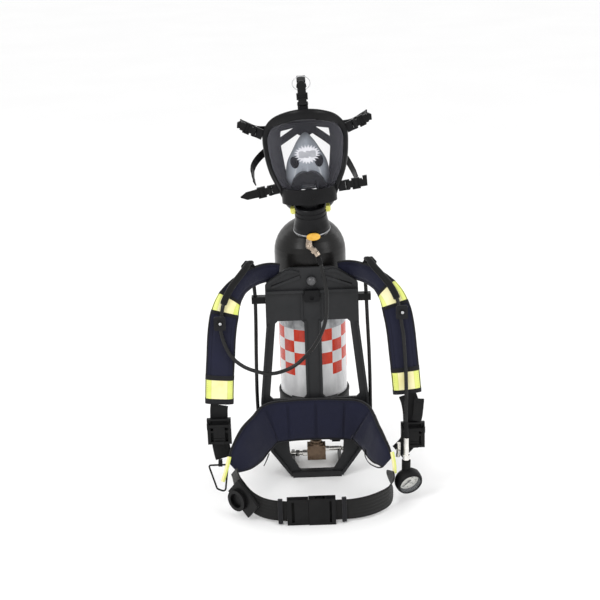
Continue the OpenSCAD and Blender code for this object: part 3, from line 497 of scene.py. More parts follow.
def wrap_material():
    """Cylinder wrap: silver marbling above, four rows of red and white checks, plain white below."""
    m = Mat("cylinder_wrap", Coat_Weight=0.2, Coat_Roughness=0.08, Specular_IOR_Level=0.25)
    sx = m.axes("Object")
    ang = m.math("ARCTAN2", m.math("SUBTRACT", sx[1], AXIS_Y), sx[0])
    turn = m.math("ADD", m.math("MULTIPLY", ang, CHECKS_ROUND / (2 * math.pi)), 0.5)
    row = m.math("DIVIDE", m.math("SUBTRACT", sx[2], CHECK_LOW), CHECK_HIGH)
    # an odd start keeps the sum positive, so that its remainder is 0 or 1
    count = m.math("ADD", m.math("ADD", m.math("FLOOR", turn), 33), m.math("FLOOR", row))
    odd = m.math("ABSOLUTE", m.math("MODULO", count, 2))
    inside = m.math("MULTIPLY", m.math("GREATER_THAN", row, 0.0), m.math("LESS_THAN", row, float(CHECK_ROWS)))
    grain = m.noise(60, 6, (1, 1, 0.35))
    fibre = m.noise(900, 3, (1, 1, 8))
    red = m.ramp(grain, [(0.3, (0.50, 0.03, 0.012)), (0.7, (0.62, 0.05, 0.022))])
    white = m.ramp(grain, [(0.3, (0.60, 0.60, 0.61)), (0.7, (0.72, 0.72, 0.73))])
    silver = m.ramp(m.noise(34, 9, (1, 1, 0.6), rough=0.68),
                    [(0.3, (0.16, 0.165, 0.17)), (0.5, (0.38, 0.385, 0.40)), (0.68, (0.62, 0.63, 0.65))])
    checks = m.mix(m.math("MULTIPLY", odd, inside), white, red)
    col = m.mix(m.math("GREATER_THAN", sx[2], SILVER_FROM), checks, silver)
    off_line = m.math("ABSOLUTE", m.math("SUBTRACT", sx[2], SILVER_FROM))
    col = m.mix(m.math("LESS_THAN", off_line, 0.0008), col, (0.35, 0.36, 0.38))
    return m.out(col, m.math("ADD", m.range(grain, 0.2, 0.34), m.range(fibre, -0.03, 0.03)),
                 m.bump(fibre, 0.12, 0.0001))


wrap_mat = wrap_material()


def dial_material():
    """Cream dial, a little uneven."""
    m = Mat("dial_face", Specular_IOR_Level=0.4)
    soft = m.noise(60, 4)
    col = m.ramp(soft, [(0.3, (0.80, 0.79, 0.72)), (0.7, (0.90, 0.89, 0.84))])
    return m.out(col, m.range(soft, 0.4, 0.55), m.bump(m.noise(1500, 2), 0.1, 0.0001))


dial_mat = dial_material()

# ---------------------------------------------------------------- hoses
supply_pts = [[-62.1, 46, 40], [-88, 45, 40], [-116, 38, 66], [-133, 27, 130], [-136, 21, 200],
              [-134, 19, 300], [-131, 17, 390], [-130, 15, 452], [-132, 19, 488], [-134, 16, 517],
              [-135, 1, 540], [-140, -27, 546], [-151.5, -50.5, 536.5], [-168.1, -72.3, 521.4],
              [-183.3, -93.4, 504.9],
              [-195.6, -110.3, 481.4], [-201.1, -119.3, 454.3], [-203.8, -122.8, 425.8], [-196, -125, 391],
              [-181, -123, 360], [-157, -118, 336], [-129, -112, 321], [-100, -108, 313], [-69, -104, 317],
              [-37, -102, 333], [-3, -100, 367], [17, -98, 400], [29, -96, 436], [32, -94, 478],
              [31, -92, 504], [27, -89, 533], [21, -86, 558], [16, -84.4, 574]]
gauge_pts = [[55.1, 46, 50], [84, 45, 50], [112, 38, 74], [129, 27, 130], [131, 21, 200], [130, 19, 300],
             [127, 17, 390], [125, 15, 452], [124, 19, 488], [125, 16, 517], [126, 1, 540], [131, -27, 546],
             [141.5, -50.5, 536.5], [158.1, -72.3, 521.4], [173.3, -93.4, 504.9], [185.6, -110.3, 481.4],
             [191.1, -119.3, 454.3], [194.3, -122.8, 425.9], [198, -126, 400], [201, -126, 350],
             [203, -126, 300], [203, -129, 255], [201, -140, 222], [200.5, -146, 192], [201, -146.5, 163]]
HOSE = 8.5
sp, gp = smooth(supply_pts, 6), smooth(gauge_pts, 6)
supply = tube("supply_hose_skin", sp, HOSE / 2, hose_mat)
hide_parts("supply_hose")
gauge_line = tube("gauge_hose_skin", gp, HOSE / 2, hose_mat)
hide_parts("gauge_hose")


def ferrule(name, p, i0, i1, r, mat):
    """A crimped sleeve on a hose, grooved where the crimp bites."""
    q = p[i0:i1]
    k = np.linspace(0, 1, 25)
    s = run(q)
    pts = A([[np.interp(t * s[-1], s, q[:, c]) for c in range(3)] for t in k])
    rr = [r * (0.80 if t in (0, 1) else 1 - 0.1 * (math.sin(t * 8 * math.pi) > 0.4)) for t in k]
    rr[0] = rr[-1] = HOSE / 2 + 0.15
    return tube(name, pts, rr, mat, 30)


ferr = [ferrule("supply_ferrule_low", sp, 0, 6, 5.9, chrome_mat),
        ferrule("supply_ferrule_top", sp, len(sp) - 7, len(sp), 5.7, boot_mat),
        ferrule("gauge_ferrule_low", gp, 0, 6, 5.7, chrome_mat),
        ferrule("gauge_ferrule_end", gp, len(gp) - 9, len(gp), 5.4, boot_mat)]
round(float(run(sp)[-1]) * MM, 3)


# ---------------------------------------------------------------- padded and sewn pieces
def superellipse(w, t, n, px=0.42, py=0.62):
    """A rounded section w and t in half size. Powers nearer 0 make it squarer."""
    c, s = circle(n).T
    return np.stack([w * np.sign(c) * np.abs(c) ** px, t * np.sign(s) * np.abs(s) ** py], 1)


def cushion(name, p, w, half, thick, along=(), across=(), n=56, wrinkle=0.35, seed=0.0):
    """A filled pad round a path: crowned, pulled in at its sewn edges, with channels along and across it."""
    a, b = axes_along(p, w)
    s = run(p)
    rings = []
    for i in range(len(p)):
        end = min(s[i], s[-1] - s[i])
        close = min(1.0, 0.42 + 0.58 * math.sin(min(1.0, end / 11.0) * math.pi / 2))
        cs = superellipse(half[i], 1.0, n)
        x = cs[:, 0] / half[i]
        tt = thick[i] * close * (1 - 0.42 * np.abs(x) ** 4)
        for f in along:
            tt = tt * (1 - 0.26 * np.exp(-((np.abs(x) - f) * half[i] / 1.7) ** 2))
        for c in across:
            tt = tt * (1 - 0.5 * math.exp(-((s[i] - c) / 2.4) ** 2))
        y = cs[:, 1] * tt
        q = p[i] + np.outer(cs[:, 0], a[i]) + np.outer(y, b[i])
        for j in range(n):
            v = Vector((q[j][0] / 17 + seed, q[j][1] / 17, q[j][2] / 17))
            q[j] += b[i] * np.sign(y[j]) * (noise.noise(v) - 0.35) * wrinkle * (1 - abs(x[j]) ** 3)
        rings.append(q)
    o = loft(name, rings, pad_mat, angle=75)
    return o, a, b, s


def edge_binding(name, p, w, half, thick, off):
    """Folded tape sewn round one long edge of a pad. Off is 1 or -1, the side."""
    a, b = axes_along(p, w)
    rings = []
    for i in range(len(p)):
        c = p[i] + a[i] * (half[i] - 1.6) * off
        k = 0.7 + 0.3 * min(1, min(i, len(p) - 1 - i) / 2)
        cs = circle(12)
        rings.append(c + np.outer(2.5 * cs[:, 0], a[i]) * k + np.outer(thick[i] * 0.62 * cs[:, 1], b[i]) * k)
    return loft(name, rings, bind_mat, angle=70)


def sleeve(name, p, w, half, thick, grow, mat):
    """A band wrapped round a pad, following its crowned section. V is measured from the middle."""
    a, b = axes_along(p, w)
    n, wall = 56, 0.9
    out, inn, v = [], [], []
    for i in range(len(p)):
        h = half[i]
        cs = superellipse(h + grow, 1.0, n)
        crown = thick * (1 - 0.36 * np.abs(cs[:, 0] / (h + grow)) ** 4) + grow
        out.append(p[i] + np.outer(cs[:, 0], a[i]) + np.outer(cs[:, 1] * crown, b[i]))
        inn.append(p[i] + np.outer(cs[:, 0] * (1 - wall / h), a[i])
                   + np.outer(cs[:, 1] * (crown - wall), b[i]))
        v.append(superellipse(h, 1, n)[:, 0])
    rings = out + inn[::-1]
    m = len(rings)
    s = run(p)
    uv = [[s[i], v[i][j]] for i in list(range(len(p))) + list(range(len(p)))[::-1] for j in range(n)]
    return part(name, A(rings).reshape(-1, 3), grid(m, n, True), mat, uv=uv, angle=50)


pad_pts = [[68, 21, 508], [92, 18, 511], [115, 0, 512], [140, -32, 510], [162, -64, 501], [180, -92, 482],
           [191, -106, 450], [198, -110, 410], [203, -111, 358], [208, -111, 305]]
K = 10
# each side's lower end, and where its two bands lie in thirds of a path point
for sgn, label, last, bands in ((-1, "left", 246, ((14.6, 17.5), (26.8, 29.5))),
                                (1, "right", 256, ((13.3, 17), (26.4, 29.6)))):
    pts = smooth(pad_pts + [[212, -109, last]], K) * A([sgn, 1, 1]) + A([-5, 0, 0])
    w = frontal(pts)
    m = len(pts)
    half = 31.2 - 9 * np.clip((18 - np.arange(m) * 3 / K) / 7, 0, 1)
    thick = np.full(m, 6.6)
    pad, a, b, s = cushion("shoulder_cushion_" + label, pts, w, half, thick, along=(0.66,), seed=sgn * 3.0)
    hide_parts("shoulder_pad_" + label)
    # the front face looks along -Y
    nn = np.where((b[:, 1] < 0)[:, None], b, -b)
    for off, tag in ((-1, "in"), (1, "out")):
        edge_binding(f"shoulder_binding_{label}_{tag}", pts, w, half, thick, off)
        stitches(f"shoulder_seam_{label}_{tag}", pts + a * (off * half * 0.66)[:, None] + nn * 5.0, nn)
        stitches(f"shoulder_edge_{label}_{tag}", pts + a * (off * (half - 4.8))[:, None] + nn * 5.15, nn)
    sleeve("shoulder_hem_" + label, pts[-4:], w[-4:], half[-4:] + 0.2, 5.8, 0.9, bind_mat)
    for k, (i0, i1) in enumerate(bands):
        f0, f1 = int(i0 * K / 3), int(i1 * K / 3)
        cut = slice(f0, f1 + 1)
        band = sleeve(f"tape_{label}_{k}", pts[cut], w[cut], half[cut] + 0.2, 6.7, 0.75, tape_mat)
        if sgn < 0 and k == 0:
            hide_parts("reflective_bands")
        for tag, g0 in (("top", f0 - 1), ("low", f1 - 1)):
            cut = slice(g0, g0 + 3)
            sleeve(f"tape_edge_{label}_{k}_{tag}", pts[cut], w[cut], half[cut] + 0.3, 6.8, 0.95, bind_mat)


def plate(name, outline, y0, y1, mat, angle=40):
    """A flat piece on the carrier: an outline in X and Z, between two Y planes."""
    n = len(outline)
    v = [[x, y, z] for y in (y0, y1) for x, z in outline]
    f = [tuple(range(n)), tuple(range(2 * n - 1, n - 1, -1))]
    f += [(i, i + n, (i + 1) % n + n, (i + 1) % n) for i in range(n)]
    return part(name, v, f, mat, uv=[[q[0], q[2]] for q in v], angle=angle)


# dark backing in the yoke's two slots
for sgn, tag in ((1, "right"), (-1, "left")):
    plate("yoke_slot_" + tag, [(sgn * x, z) for x, z in ((61, 487), (91, 477), (93, 485), (63, 495))],
          3.2, 5.8, latch_mat)

# hip pad: points of its top edge, each with one of its low edge
hip = [[[-198, -130, 114], [-188, -136, 80]], [[-187, -112, 146], [-161, -118, 77]],
       [[-160, -74, 177], [-140, -88, 78]], [[-132, -42, 192], [-121, -54, 90]],
       [[-106, -24, 206], [-98, -31, 104]], [[-58, -19, 209], [-54, -24, 107]],
       [[0, -18, 210], [0, -23, 108]], [[56, -19, 208], [52, -24, 107]], [[100, -24, 204], [93, -31, 102]],
       [[123, -45, 186], [113, -54, 88]], [[141, -82, 162], [128, -88, 76]],
       [[154, -110, 140], [142, -114, 75]], [[164, -128, 112], [154, -132, 77]]]
hu, hl = smooth([h[0] for h in hip], 12), smooth([h[1] for h in hip], 12)
hm = (hu + hl) / 2
hh = np.linalg.norm(hu - hl, axis=1) / 2
he = np.minimum(np.arange(len(hm)), len(hm) - 1 - np.arange(len(hm))) / 12
ht = np.minimum(7.2, 4.3 + 0.98 * he * 2)
hs = run(hm)
seams = [float(np.interp(x, hm[:, 0], hs)) for x in (-106, -66, 0, 66, 107)]
lumbar, a, b, s = cushion("hip_cushion", hm, hu - hl, hh - 0.6, ht, across=seams, n=64, wrinkle=0.5)
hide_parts("lumbar_pad")
nn = np.where((b[:, 1] < 0)[:, None], b, -b)
for off, tag in ((1, "top"), (-1, "low")):
    edge_binding("hip_binding_" + tag, hm, hu - hl, hh, ht, off)
    stitches("hip_edge_" + tag, hm + a * (off * (hh - 6.0))[:, None] + nn * (ht * 0.80)[:, None], nn)
t = tang(hm)
for k, c in enumerate(seams):
    i = int(np.argmin(abs(s - c)))
    for d, tag in ((-1.9, "a"), (1.9, "b")):
        line = A([hm[i] + a[i] * hh[i] * q + nn[i] * (ht[i] * (1 - 0.42 * abs(q) ** 4) * 0.9 - 0.15)
                  + t[i] * d for q in np.linspace(-0.86, 0.86, 40)])
        stitches(f"hip_seam_{k}_{tag}", line, nn[i], 4.2, 2.8)

# lime strips on the outer edges of the hip pad
for k, q in enumerate(([[-199, -142, 128], [-204, -148, 110], [-210, -154, 92], [-216, -158, 74]],
                       [[169, -142, 126], [171.5, -146, 110], [173.4, -150, 94], [173.4, -154, 78]])):
    q = smooth(q, 5)
    st = strap(f"hip_strip_{k}", q, frontal(q), 9, 1.6, tape_mat)

# ---------------------------------------------------------------- webbing
def web(name, p, width, thick):
    """A length of webbing along a smoothed path, facing forwards."""
    p = smooth(p, 5)
    o = strap(name, p, frontal(p), width, thick, web_mat)
    return o


left_web = web("shoulder_web_left", [[-217, -109, 242], [-219, -109, 230], [-220, -109, 200],
               [-220, -109, 160], [-218, -110, 138], [-215, -112, 120], [-213, -112, 112]], 40, 2.4)
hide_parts("shoulder_webbing")
web("shoulder_web_right", [[207, -109, 252], [213, -109, 232], [217, -109, 200], [216, -109, 156],
    [207, -110, 134], [194, -113, 120], [184, -116, 112]], 40, 2.4)
web("shoulder_web_tail", [[226, -123, 192], [229, -122, 204], [231, -122.5, 222], [233, -120, 240]], 22, 2.2)
web("shoulder_web_fold", [[232.6, -121.8, 238], [233, -119.5, 242], [233, -117.6, 238],
    [232, -117.4, 226]], 22, 2.2)
# folded loop for the ring
web("ring_loop", [[-221, -120, 112], [-221, -129, 113], [-221, -136.6, 110], [-221, -138.0, 104.6],
    [-221, -134, 101], [-221, -129, 104], [-221, -122, 108]], 9, 1.6)
for nm, x, z in (("left", -217.5, 222), ("right", 211, 222)):
    for dx, tag in ((-15, "a"), (15, "b")):
        stitches(f"web_stitch_{nm}_{tag}", [[x + dx, -110.5, z + 22], [x + dx, -110.5, z - 14]], [0, -1, 0])

belt_l = smooth([[-190, -143, 92], [-180, -163, 68], [-160, -186, 46], [-134, -208, 36], [-106, -222, 33],
                 [-72, -230, 32]], 8)
belt_r = smooth([[36, -230, 32], [74, -228, 32], [106, -218, 32], [134, -200, 32], [158, -176, 34],
                 [166, -156, 50], [164, -143, 80]], 8)
for tag, p in (("left", belt_l), ("right", belt_r)):
    s = run(p)
    w, b = axes_along(p, A([0, 0.001, 1]))
    rings = []
    sec = slab(50, 2.6, 9)
    for i in range(len(p)):
        q = p[i] + np.outer(sec[:, 0], w[i]) + np.outer(sec[:, 1], b[i])
        ends = min(1, min(s[i], s[-1] - s[i]) / 30)
        lift = np.sin(sec[:, 0] / 50 * math.pi * 1.3 + s[i] / 31) * 0.8 * ends
        rings.append(q + np.outer(lift, b[i]))
    o = loft("belt_" + tag, rings, belt_mat, angle=60)
    if tag == "left":
        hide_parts("waist_belt")
    nf = np.where((b[:, 1] < 0)[:, None], b, -b)
    for off, side_tag in ((-21.5, "a"), (21.5, "b")):
        line = (p + w * off + nf * 1.75)[4:-4]
        stitches(f"belt_stitch_{tag}_{side_tag}", line, nf[4:-4], 5.2, 3.2, 0.35)
# keepers: square rings of tape round the belt, leaning a little with it
loop = A([[0, y, z + 32] for y, z in superellipse(6.2, 29.5, 40, 0.35, 0.2)])
for k, (x, ang) in enumerate(((-87, -4), (55, 4))):
    c, s_ = math.cos(math.radians(ang)), math.sin(math.radians(ang))
    rings = [loop * A([1, g, 1]) + A([dx, 0, 0]) for dx, g in ((-5, 0.8), (-4.6, 1), (4.6, 1), (5, 0.8))]
    inner = [q * A([1, 0.72, 0.955]) + A([0, 0, 1.45]) for q in rings[::-1]]
    turned = [q @ A([[c, s_, 0], [-s_, c, 0], [0, 0, 1]]) + A([x, -229, 0]) for q in rings + inner]
    loft(f"belt_keeper_{k}", turned, bind_mat, loop=True)

# webbing flaps where the hoses come over the shoulders
for sgn, tag in ((-1, "left"), (1, "right")):
    outline = ((150, 522), (153, 538), (143, 550), (129, 549), (121, 537), (123, 520))
    o = plate("shoulder_flap_" + tag, [(sgn * x - 4.5, z) for x, z in outline], -13.2, -11.4, web_mat, 30)

# hose sleeves on the pads with their snap patches
for sgn, tag, hp, patch in ((-1, "left", supply_pts, (-205, -127.6, 444)),
                            (1, "right", gauge_pts, (195, -127.4, 456))):
    p = smooth(hp[10:17], 8)[1:41]
    cs = superellipse(7.6, 5.2, 28, 0.8, 0.8)
    rings = sweep_rings(p, frontal(p), [cs * (0.9 if i in (0, len(p) - 1) else 1) for i in range(len(p))])
    o = loft("hose_sleeve_" + tag, rings, web_mat, angle=60)
    if sgn < 0:
        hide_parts("hose_keepers")
    x, y, z = patch
    tab = [(-11, -15), (11, -15), (13, -12), (13, 13), (10, 17), (-10, 17), (-13, 13), (-13, -12)]
    plate("snap_patch_" + tag, [(x + dx, z + dz - 2) for dx, dz in tab], y - 0.6, y + 2, bind_mat, 30)
    disc_part("snap_ring_" + tag, [(0, 0), (6.2, 0), (6.4, 0.8), (5.6, 1.6), (0, 1.7)],
              place((x, y - 0.7, z), (0, -1, 0)), boot_mat)
    disc_part("snap_" + tag, [(0, 0), (3.2, 0), (3.4, 0.6), (2.8, 1.5), (1.6, 2.0), (0, 2.1)],
              place((x + 1, y - 2.2, z - 1), (0.1, -1, 0.1)), steel_mat)

# ---------------------------------------------------------------- face mask
BASE = Matrix.Translation((4.5, -45, 631)) @ Matrix.Rotation(math.radians(-2.4), 4, "Y")
MASK = np.array(BASE)
DV = np.array(BASE @ Matrix.Rotation(math.radians(12), 4, "X"))


def at(m, p):
    """Points moved by a 4x4 matrix."""
    p = A(p)
    return p @ m[:3, :3].T + m[:3, 3]


# the mask's half breadth HX at the heights HZ
HZ = [62, 74, 84, 98, 124, 150, 175, 195, 212, 228, 240, 249, 255, 259]
HX = [46, 52, 57, 64, 77, 84, 87, 88, 85, 76, 64, 48, 30, 12]


def hw(z):
    return float(np.interp(z, HZ, HX))


def bulge(x, z):
    """The visor's depth at a point."""
    return -40 + 62 * (abs(x) / 89) ** 2 + 0.1 * max(0, z - 110)


# the rim's line, from its top down the right side and back up the left
oz = [259, 257, 251, 242, 230, 214, 196, 176, 152, 126, 102, 84, 72, 66]
half_line = [[hw(z) - (12 if z > 258 else 0) + (-22 if z < 67 else 0), z] for z in oz]
rim_line = half_line + [[-q[0], q[1]] for q in half_line[:0:-1]]


def brow(z):
    """How much the rim widens over the brow."""
    return 1 + 1.1 * min(1, (z - 200) / 45) if z > 200 else 1


def face(browed, g, dy):
    """The rim's line grown by g, more at the brow if browed, and moved dy behind the visor's surface."""
    n = len(rim_line)
    out = []
    for i in range(n):
        p = A(rim_line[i])
        d = unit(A(rim_line[(i + 1) % n]) - A(rim_line[i - 1]))
        q = p + g * (brow(p[1]) if browed else 1) * A([-d[1], d[0]])
        out.append([q[0], bulge(*p) + dy, q[1]])
    return out


def back(g, y, k, mix):
    """A section of the seal: the rim's line grown by g, drawn to depth y by mix, its chin lowered by k."""
    out = []
    for x, py, z in face(0, g, 14.4):
        chin = k * ((110 - z) / 44) ** 2 if z < 110 else 0
        top = 0.38 * (z - 190) / 69 * max(0, (y - py) * mix) if z > 190 else 0
        out.append([x, py * (1 - mix) + y * mix, z - chin - top])
    return out


def mask_ring(name, sections, mat, around=4):
    """A closed tube of cross-sections round the mask, smoothed, still without a body."""
    rings = [at(MASK, smooth(q, around, True)) for q in sections]
    o = part(name, A(rings).reshape(-1, 3), grid(len(rings), len(rings[0]), True), mat, None, angle=180)
    md = o.modifiers.new("round", "SUBSURF")
    md.levels = md.render_levels = 1
    return o


def settle(o, cutters=(), angle=40):
    """Applies a mask piece's modifiers, with the cutters taken out of it, and rides it."""
    for c in cutters:
        md = o.modifiers.new("cut", "BOOLEAN")
        md.operation, md.solver, md.object = "DIFFERENCE", "EXACT", c
    dg = bpy.context.evaluated_depsgraph_get()
    me = bpy.data.meshes.new_from_object(o.evaluated_get(dg))
    o.modifiers.clear()
    o.data = me
    me.polygons.foreach_set("use_smooth", [True] * len(me.polygons))
    me.set_sharp_from_angle(angle=math.radians(angle))
    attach(o, "mask")
    return o


def prism(name, m, outline, z0, z1):
    """A cutter, removed when it has cut."""
    return loft(name, [at(m, [[x, y, z] for x, y in outline]) for z in (z0, z1)], seal_mat, None, uv=False)


chin_cut = prism("cut_chin", MASK, circle(64) * (60.4, 37.4) - (0, 14), 15, 98.2)
neck_cut = prism("cut_neck", DV, circle(64) * 38, 0, 70)

rim = mask_ring("visor_rim", [face(*q) for q in (
    (1, 1, -6.4), (1, 3.6, -5), (1, 5.4, -1), (0, 6.2, 6), (0, 6, 13.6), (0, -2.6, 13.6), (1, -4.6, 5),
    (1, -6.4, 0), (1, -6.0, -4.6), (1, -3, -6.2))], valve_mat)
settle(rim, [chin_cut], 50)

# the rim's buckle lugs, as on the frame below it: each one's place, and its turns about Y and Z
LUG_AT = [[0, -17, 278], [-109, 33, 217], [109, 33, 217], [-85, -4, 92], [85, -4, 92]]
LUG_TURN = [[-90, 0], [-28, 180], [-22, 0], [9, 180], [-6, 0]]


def lug_matrix(k):
    """The axes of lug k: X away from the mask, Z along its pin."""
    y, z = (math.radians(q) for q in LUG_TURN[k])
    return BASE @ Matrix.Translation(LUG_AT[k]) @ (Matrix.Rotation(z, 4, "Z") @ Matrix.Rotation(y, 4, "Y"))


def soft_box(name, m, x0, x1, y, z0, z1, c, mat, body="mask"):
    """A block 2y thick with rounded long edges, drawn in a lug's own axes."""
    sec = superellipse(y, (z1 - z0) / 2, 28, 0.45, 0.45)
    stations = ((x0, 1), (x0 + c * 0.3, 1), (x1 - c, 1), (x1 - c * 0.3, 0.93), (x1, 0.8))
    rings = [[[x, q[0] * k, (z0 + z1) / 2 + q[1] * k] for q in sec] for x, k in stations]
    return loft(name, [at(np.array(m), q) for q in rings], mat, body, angle=45)


LUGS = ["top", "upper_left", "upper_right", "lower_left", "lower_right"]
REACH = (15, 20, 20, 21, 21)
EYE = [(0, 0), (4.3, 0), (4.7, 0.5), (4.7, 2.9), (4.3, 3.4), (0, 3.4)]
PIN = [(0, 0), (2.2, 0), (2.2, 0.6), (1.95, 0.7), (1.95, 22.9), (2.2, 23), (2.2, 23.6), (0, 23.6)]
for k, nm in enumerate(LUGS):
    m = lug_matrix(k)
    soft_box("lug_root_" + nm, m, -REACH[k], -7.2, 4.3, -11.2, 11.2, 2, valve_mat)
    soft_box("lug_web_" + nm, m, -7.6, -4.85, 2.2, -8.6, 8.6, 0.3, valve_mat)
    for z, tag in ((-9.5, "a"), (9.5, "b")):
        soft_box(f"lug_arm_{nm}_{tag}", m, -8, 0.5, 4.1, z - 1.6, z + 1.6, 1.5, valve_mat)
        eye = np.array(m @ Matrix.Translation((0, 0, z - 1.7)))
        disc_part(f"lug_eye_{nm}_{tag}", EYE, eye, valve_mat, "mask")
    disc_part("lug_pin_" + nm, PIN, np.array(m @ Matrix.Translation((0, 0, -11.8))), steel_mat, "mask")
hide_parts("visor_frame")

# clear visor: two skins over the same grid, closed round the edge
vz = [70.2] + list(np.linspace(74, 240, 40)) + [243, 246, 249, 251.6]
cols = 41
front, rear = [], []
for z in vz:
    h = hw(z) - 5.9 * (1 if z < 205 else brow(z) * 0.55 + 0.45)
    for x in h * (2 * np.arange(cols) / (cols - 1) - 1):
        front.append([x, bulge(x, z) + 0.6, z])
        rear.append([x, bulge(x, z) + 2.7, z])
nv, rows = len(front), len(vz)
vf = []
for i in range(rows - 1):
    for j in range(cols - 1):
        q = (i * cols + j, i * cols + j + 1, (i + 1) * cols + j + 1, (i + 1) * cols + j)
        vf += [q, tuple(nv + t for t in q[::-1])]
edge = list(range(cols)) + [i * cols + cols - 1 for i in range(1, rows)] \
    + [(rows - 1) * cols + j for j in range(cols - 2, -1, -1)] + [i * cols for i in range(rows - 2, 0, -1)]
for a_, b_ in zip(edge, edge[1:] + edge[:1]):
    vf.append((a_, nv + a_, nv + b_, b_))
visor = part("visor_shell", at(MASK, front + rear), vf, visor_mat, "mask", angle=50)
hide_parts("visor")

seal = mask_ring("face_seal_skin", [back(*q) for q in (
    (5, 0, 0, 0), (6, 48, 0, 0.9), (7, 62, 30, 1), (4, 86, 40, 1), (-1, 96, 39, 1), (-5, 98, 38, 1),
    (-14, 92.6, 30, 1), (-13.6, 89.6, 30, 1), (-4, 93.5, 37, 1), (1, 83, 36, 1), (4, 62, 26, 1),
    (3.2, 48, -3, 0.9), (2, 0, 0, 0))], seal_mat)
settle(seal, [chin_cut, neck_cut], 50)
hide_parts("face_seal")

# dark cheeks of the seal, seen through the visor
cheek = A([[57, 106], [64, 122], [71, 140], [75, 160], [77, 180], [77, 198], [72, 214], [56, 224], [47, 216],
           [53, 202], [55, 186], [55, 168], [53, 150], [51, 132], [49, 116], [46, 104], [38, 92],
           [31, 80], [28, 68], [44, 68], [51, 80], [55, 93]])
for sg, tag in ((1, "right"), (-1, "left")):
    q = smooth(cheek, 4, True)
    n = len(q)
    pts = [at(MASK, np.stack([sg * (55 + (q[:, 0] - 55) * k), np.full(n, y), 160 + (q[:, 1] - 160) * k], 1))
           for y, k in ((90.4, 0.97), (91.2, 1.0), (93.0, 1.0), (93.8, 0.97))]
    o = loft("seal_cheek_" + tag, pts, seal_mat, "mask")


def nose(sc, y):
    """A section of the nose cup at depth y, scaled by sc."""
    q0 = [[0, 205], [-16, 190], [-30, 165], [-43, 140], [-48, 118], [-48, 98], [-38, 82], [-18, 76], [18, 76],
          [38, 82], [48, 98], [48, 118], [43, 140], [30, 165], [16, 190]]
    return [[q[0] * sc, y - ((q[1] - 150) * 0.35 if q[1] > 150 else 0), 112 + (q[1] - 112) * sc] for q in q0]


inner = mask_ring("inner_mask_skin", [nose(*q) for q in (
    (0.62, 8), (0.8, 20), (0.96, 42), (1.0, 64), (0.99, 67), (0.94, 67), (0.91, 43), (0.755, 21.3),
    (0.585, 9.3))], inner_mat, 5)
nose_front = mask_ring("inner_mask_front", [nose(*q) for q in (
    (0.6, 10.6), (0.61, 9), (0.46, 5.5), (0.22, 3.4), (0.02, 3), (0.02, 4.6), (0.22, 5), (0.45, 7.1))],
                       inner_mat, 5)
settle(nose_front, angle=60)
# the valve openings: one on the right, and the same mirrored
breath = BASE @ Matrix.Translation((25.5, 14, 146)) @ Matrix.Rotation(math.radians(52), 4, "Z") \
    @ Matrix.Rotation(math.radians(90), 4, "X")
mirror = BASE @ Matrix.Diagonal((-1, 1, 1, 1)) @ BASE.inverted()
bores = [prism("cut_bore_" + tag, np.array(m), circle(64) * 13.1, -7, 7)
         for tag, m in (("a", breath), ("b", mirror @ breath))]
settle(inner, bores)
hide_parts("inner_mask")
for c in [chin_cut, neck_cut] + bores:
    bpy.data.objects.remove(c)

# plain starburst sticker with a plain panel, both following the visor
STAR = (1.8, 172)
POINTS = 44


def on_visor(x, z, dy):
    """A point from the star's middle, on the visor's surface and dy behind it."""
    return [STAR[0] + x, bulge(STAR[0] + x, STAR[1] + z) + dy, STAR[1] + z]


star = []
for k in range(POINTS):
    th = 2 * math.pi * k / POINTS
    rr = 1.0 if k % 2 == 0 else 0.70 + 0.04 * math.sin(3.0 * th)
    star.append([29 * rr * math.cos(th) * (0.9 + 0.1 * abs(math.cos(th))), 21 * rr * math.sin(th)])
sv = [on_visor(x * lv, z * lv, 0.25) for lv in (0.25, 0.5, 0.75, 1.0) for x, z in star]
sv.append(on_visor(0, 0, 0.3))
sf = grid(4, POINTS) + [(len(sv) - 1, (j + 1) % POINTS, j) for j in range(POINTS)]
part("visor_sticker", at(MASK, sv), sf, sticker_mat, "mask", angle=60)
panel = superellipse(18.5, 7.5, 32, 0.3, 0.3)
pv = [on_visor(x * lv, z * lv, 0.08) for lv in (0.15, 0.5, 1.0) for x, z in panel]
pf = grid(3, 32) + [tuple(range(31, -1, -1))]
part("visor_sticker_panel", at(MASK, pv), pf, panel_mat, "mask", angle=60)


def head_strap(name, pts, w, width):
    """A head strap of ribbed rubber with adjustment teeth."""
    p = at(MASK, smooth(pts, 10))
    rib = 1 + 0.35 * (np.sin(run(p) * 2 * math.pi / 7) > 0.2)
    rings = sweep_rings(p, A(w) @ MASK[:3, :3].T, [slab(width, 2.2) * (1, k) for k in rib])
    o = loft(name, rings, seal_mat, "mask", angle=35)
    return o


hs_top = head_strap("head_strap_top", [[0, 129, 222], [0, 112, 276], [0, 74, 316], [0, 34, 328], [0, 4, 322]],
                    [1, 0, 0], 19)
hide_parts("head_harness")
for sg, tag in ((1, "right"), (-1, "left")):
    head_strap("head_strap_upper_" + tag, A([[22, 129, 208], [66, 122, 202], [104, 104, 206], [130, 78, 224],
               [138, 55, 234]]) * A([sg, 1, 1]), [0, 0.2, 1], 17)
head_strap("head_strap_lower_left", [[-20, 129, 192], [-62, 122, 168], [-100, 96, 150], [-121, 58, 130],
           [-118, 22, 104]], [-0.3, 0, 1], 17)
head_strap("head_strap_lower_right", [[20, 129, 192], [60, 124, 160], [88, 104, 126], [102, 68, 104],
           [106, 24, 97]], [0.3, 0, 1], 17)
pad_outline = smooth([[-22, 232], [0, 235], [22, 232], [30, 214], [26, 196], [14, 182], [0, 180], [-14, 182],
                      [-26, 196], [-30, 214]], 5, True)
middle = A([0, 208])
rings = []
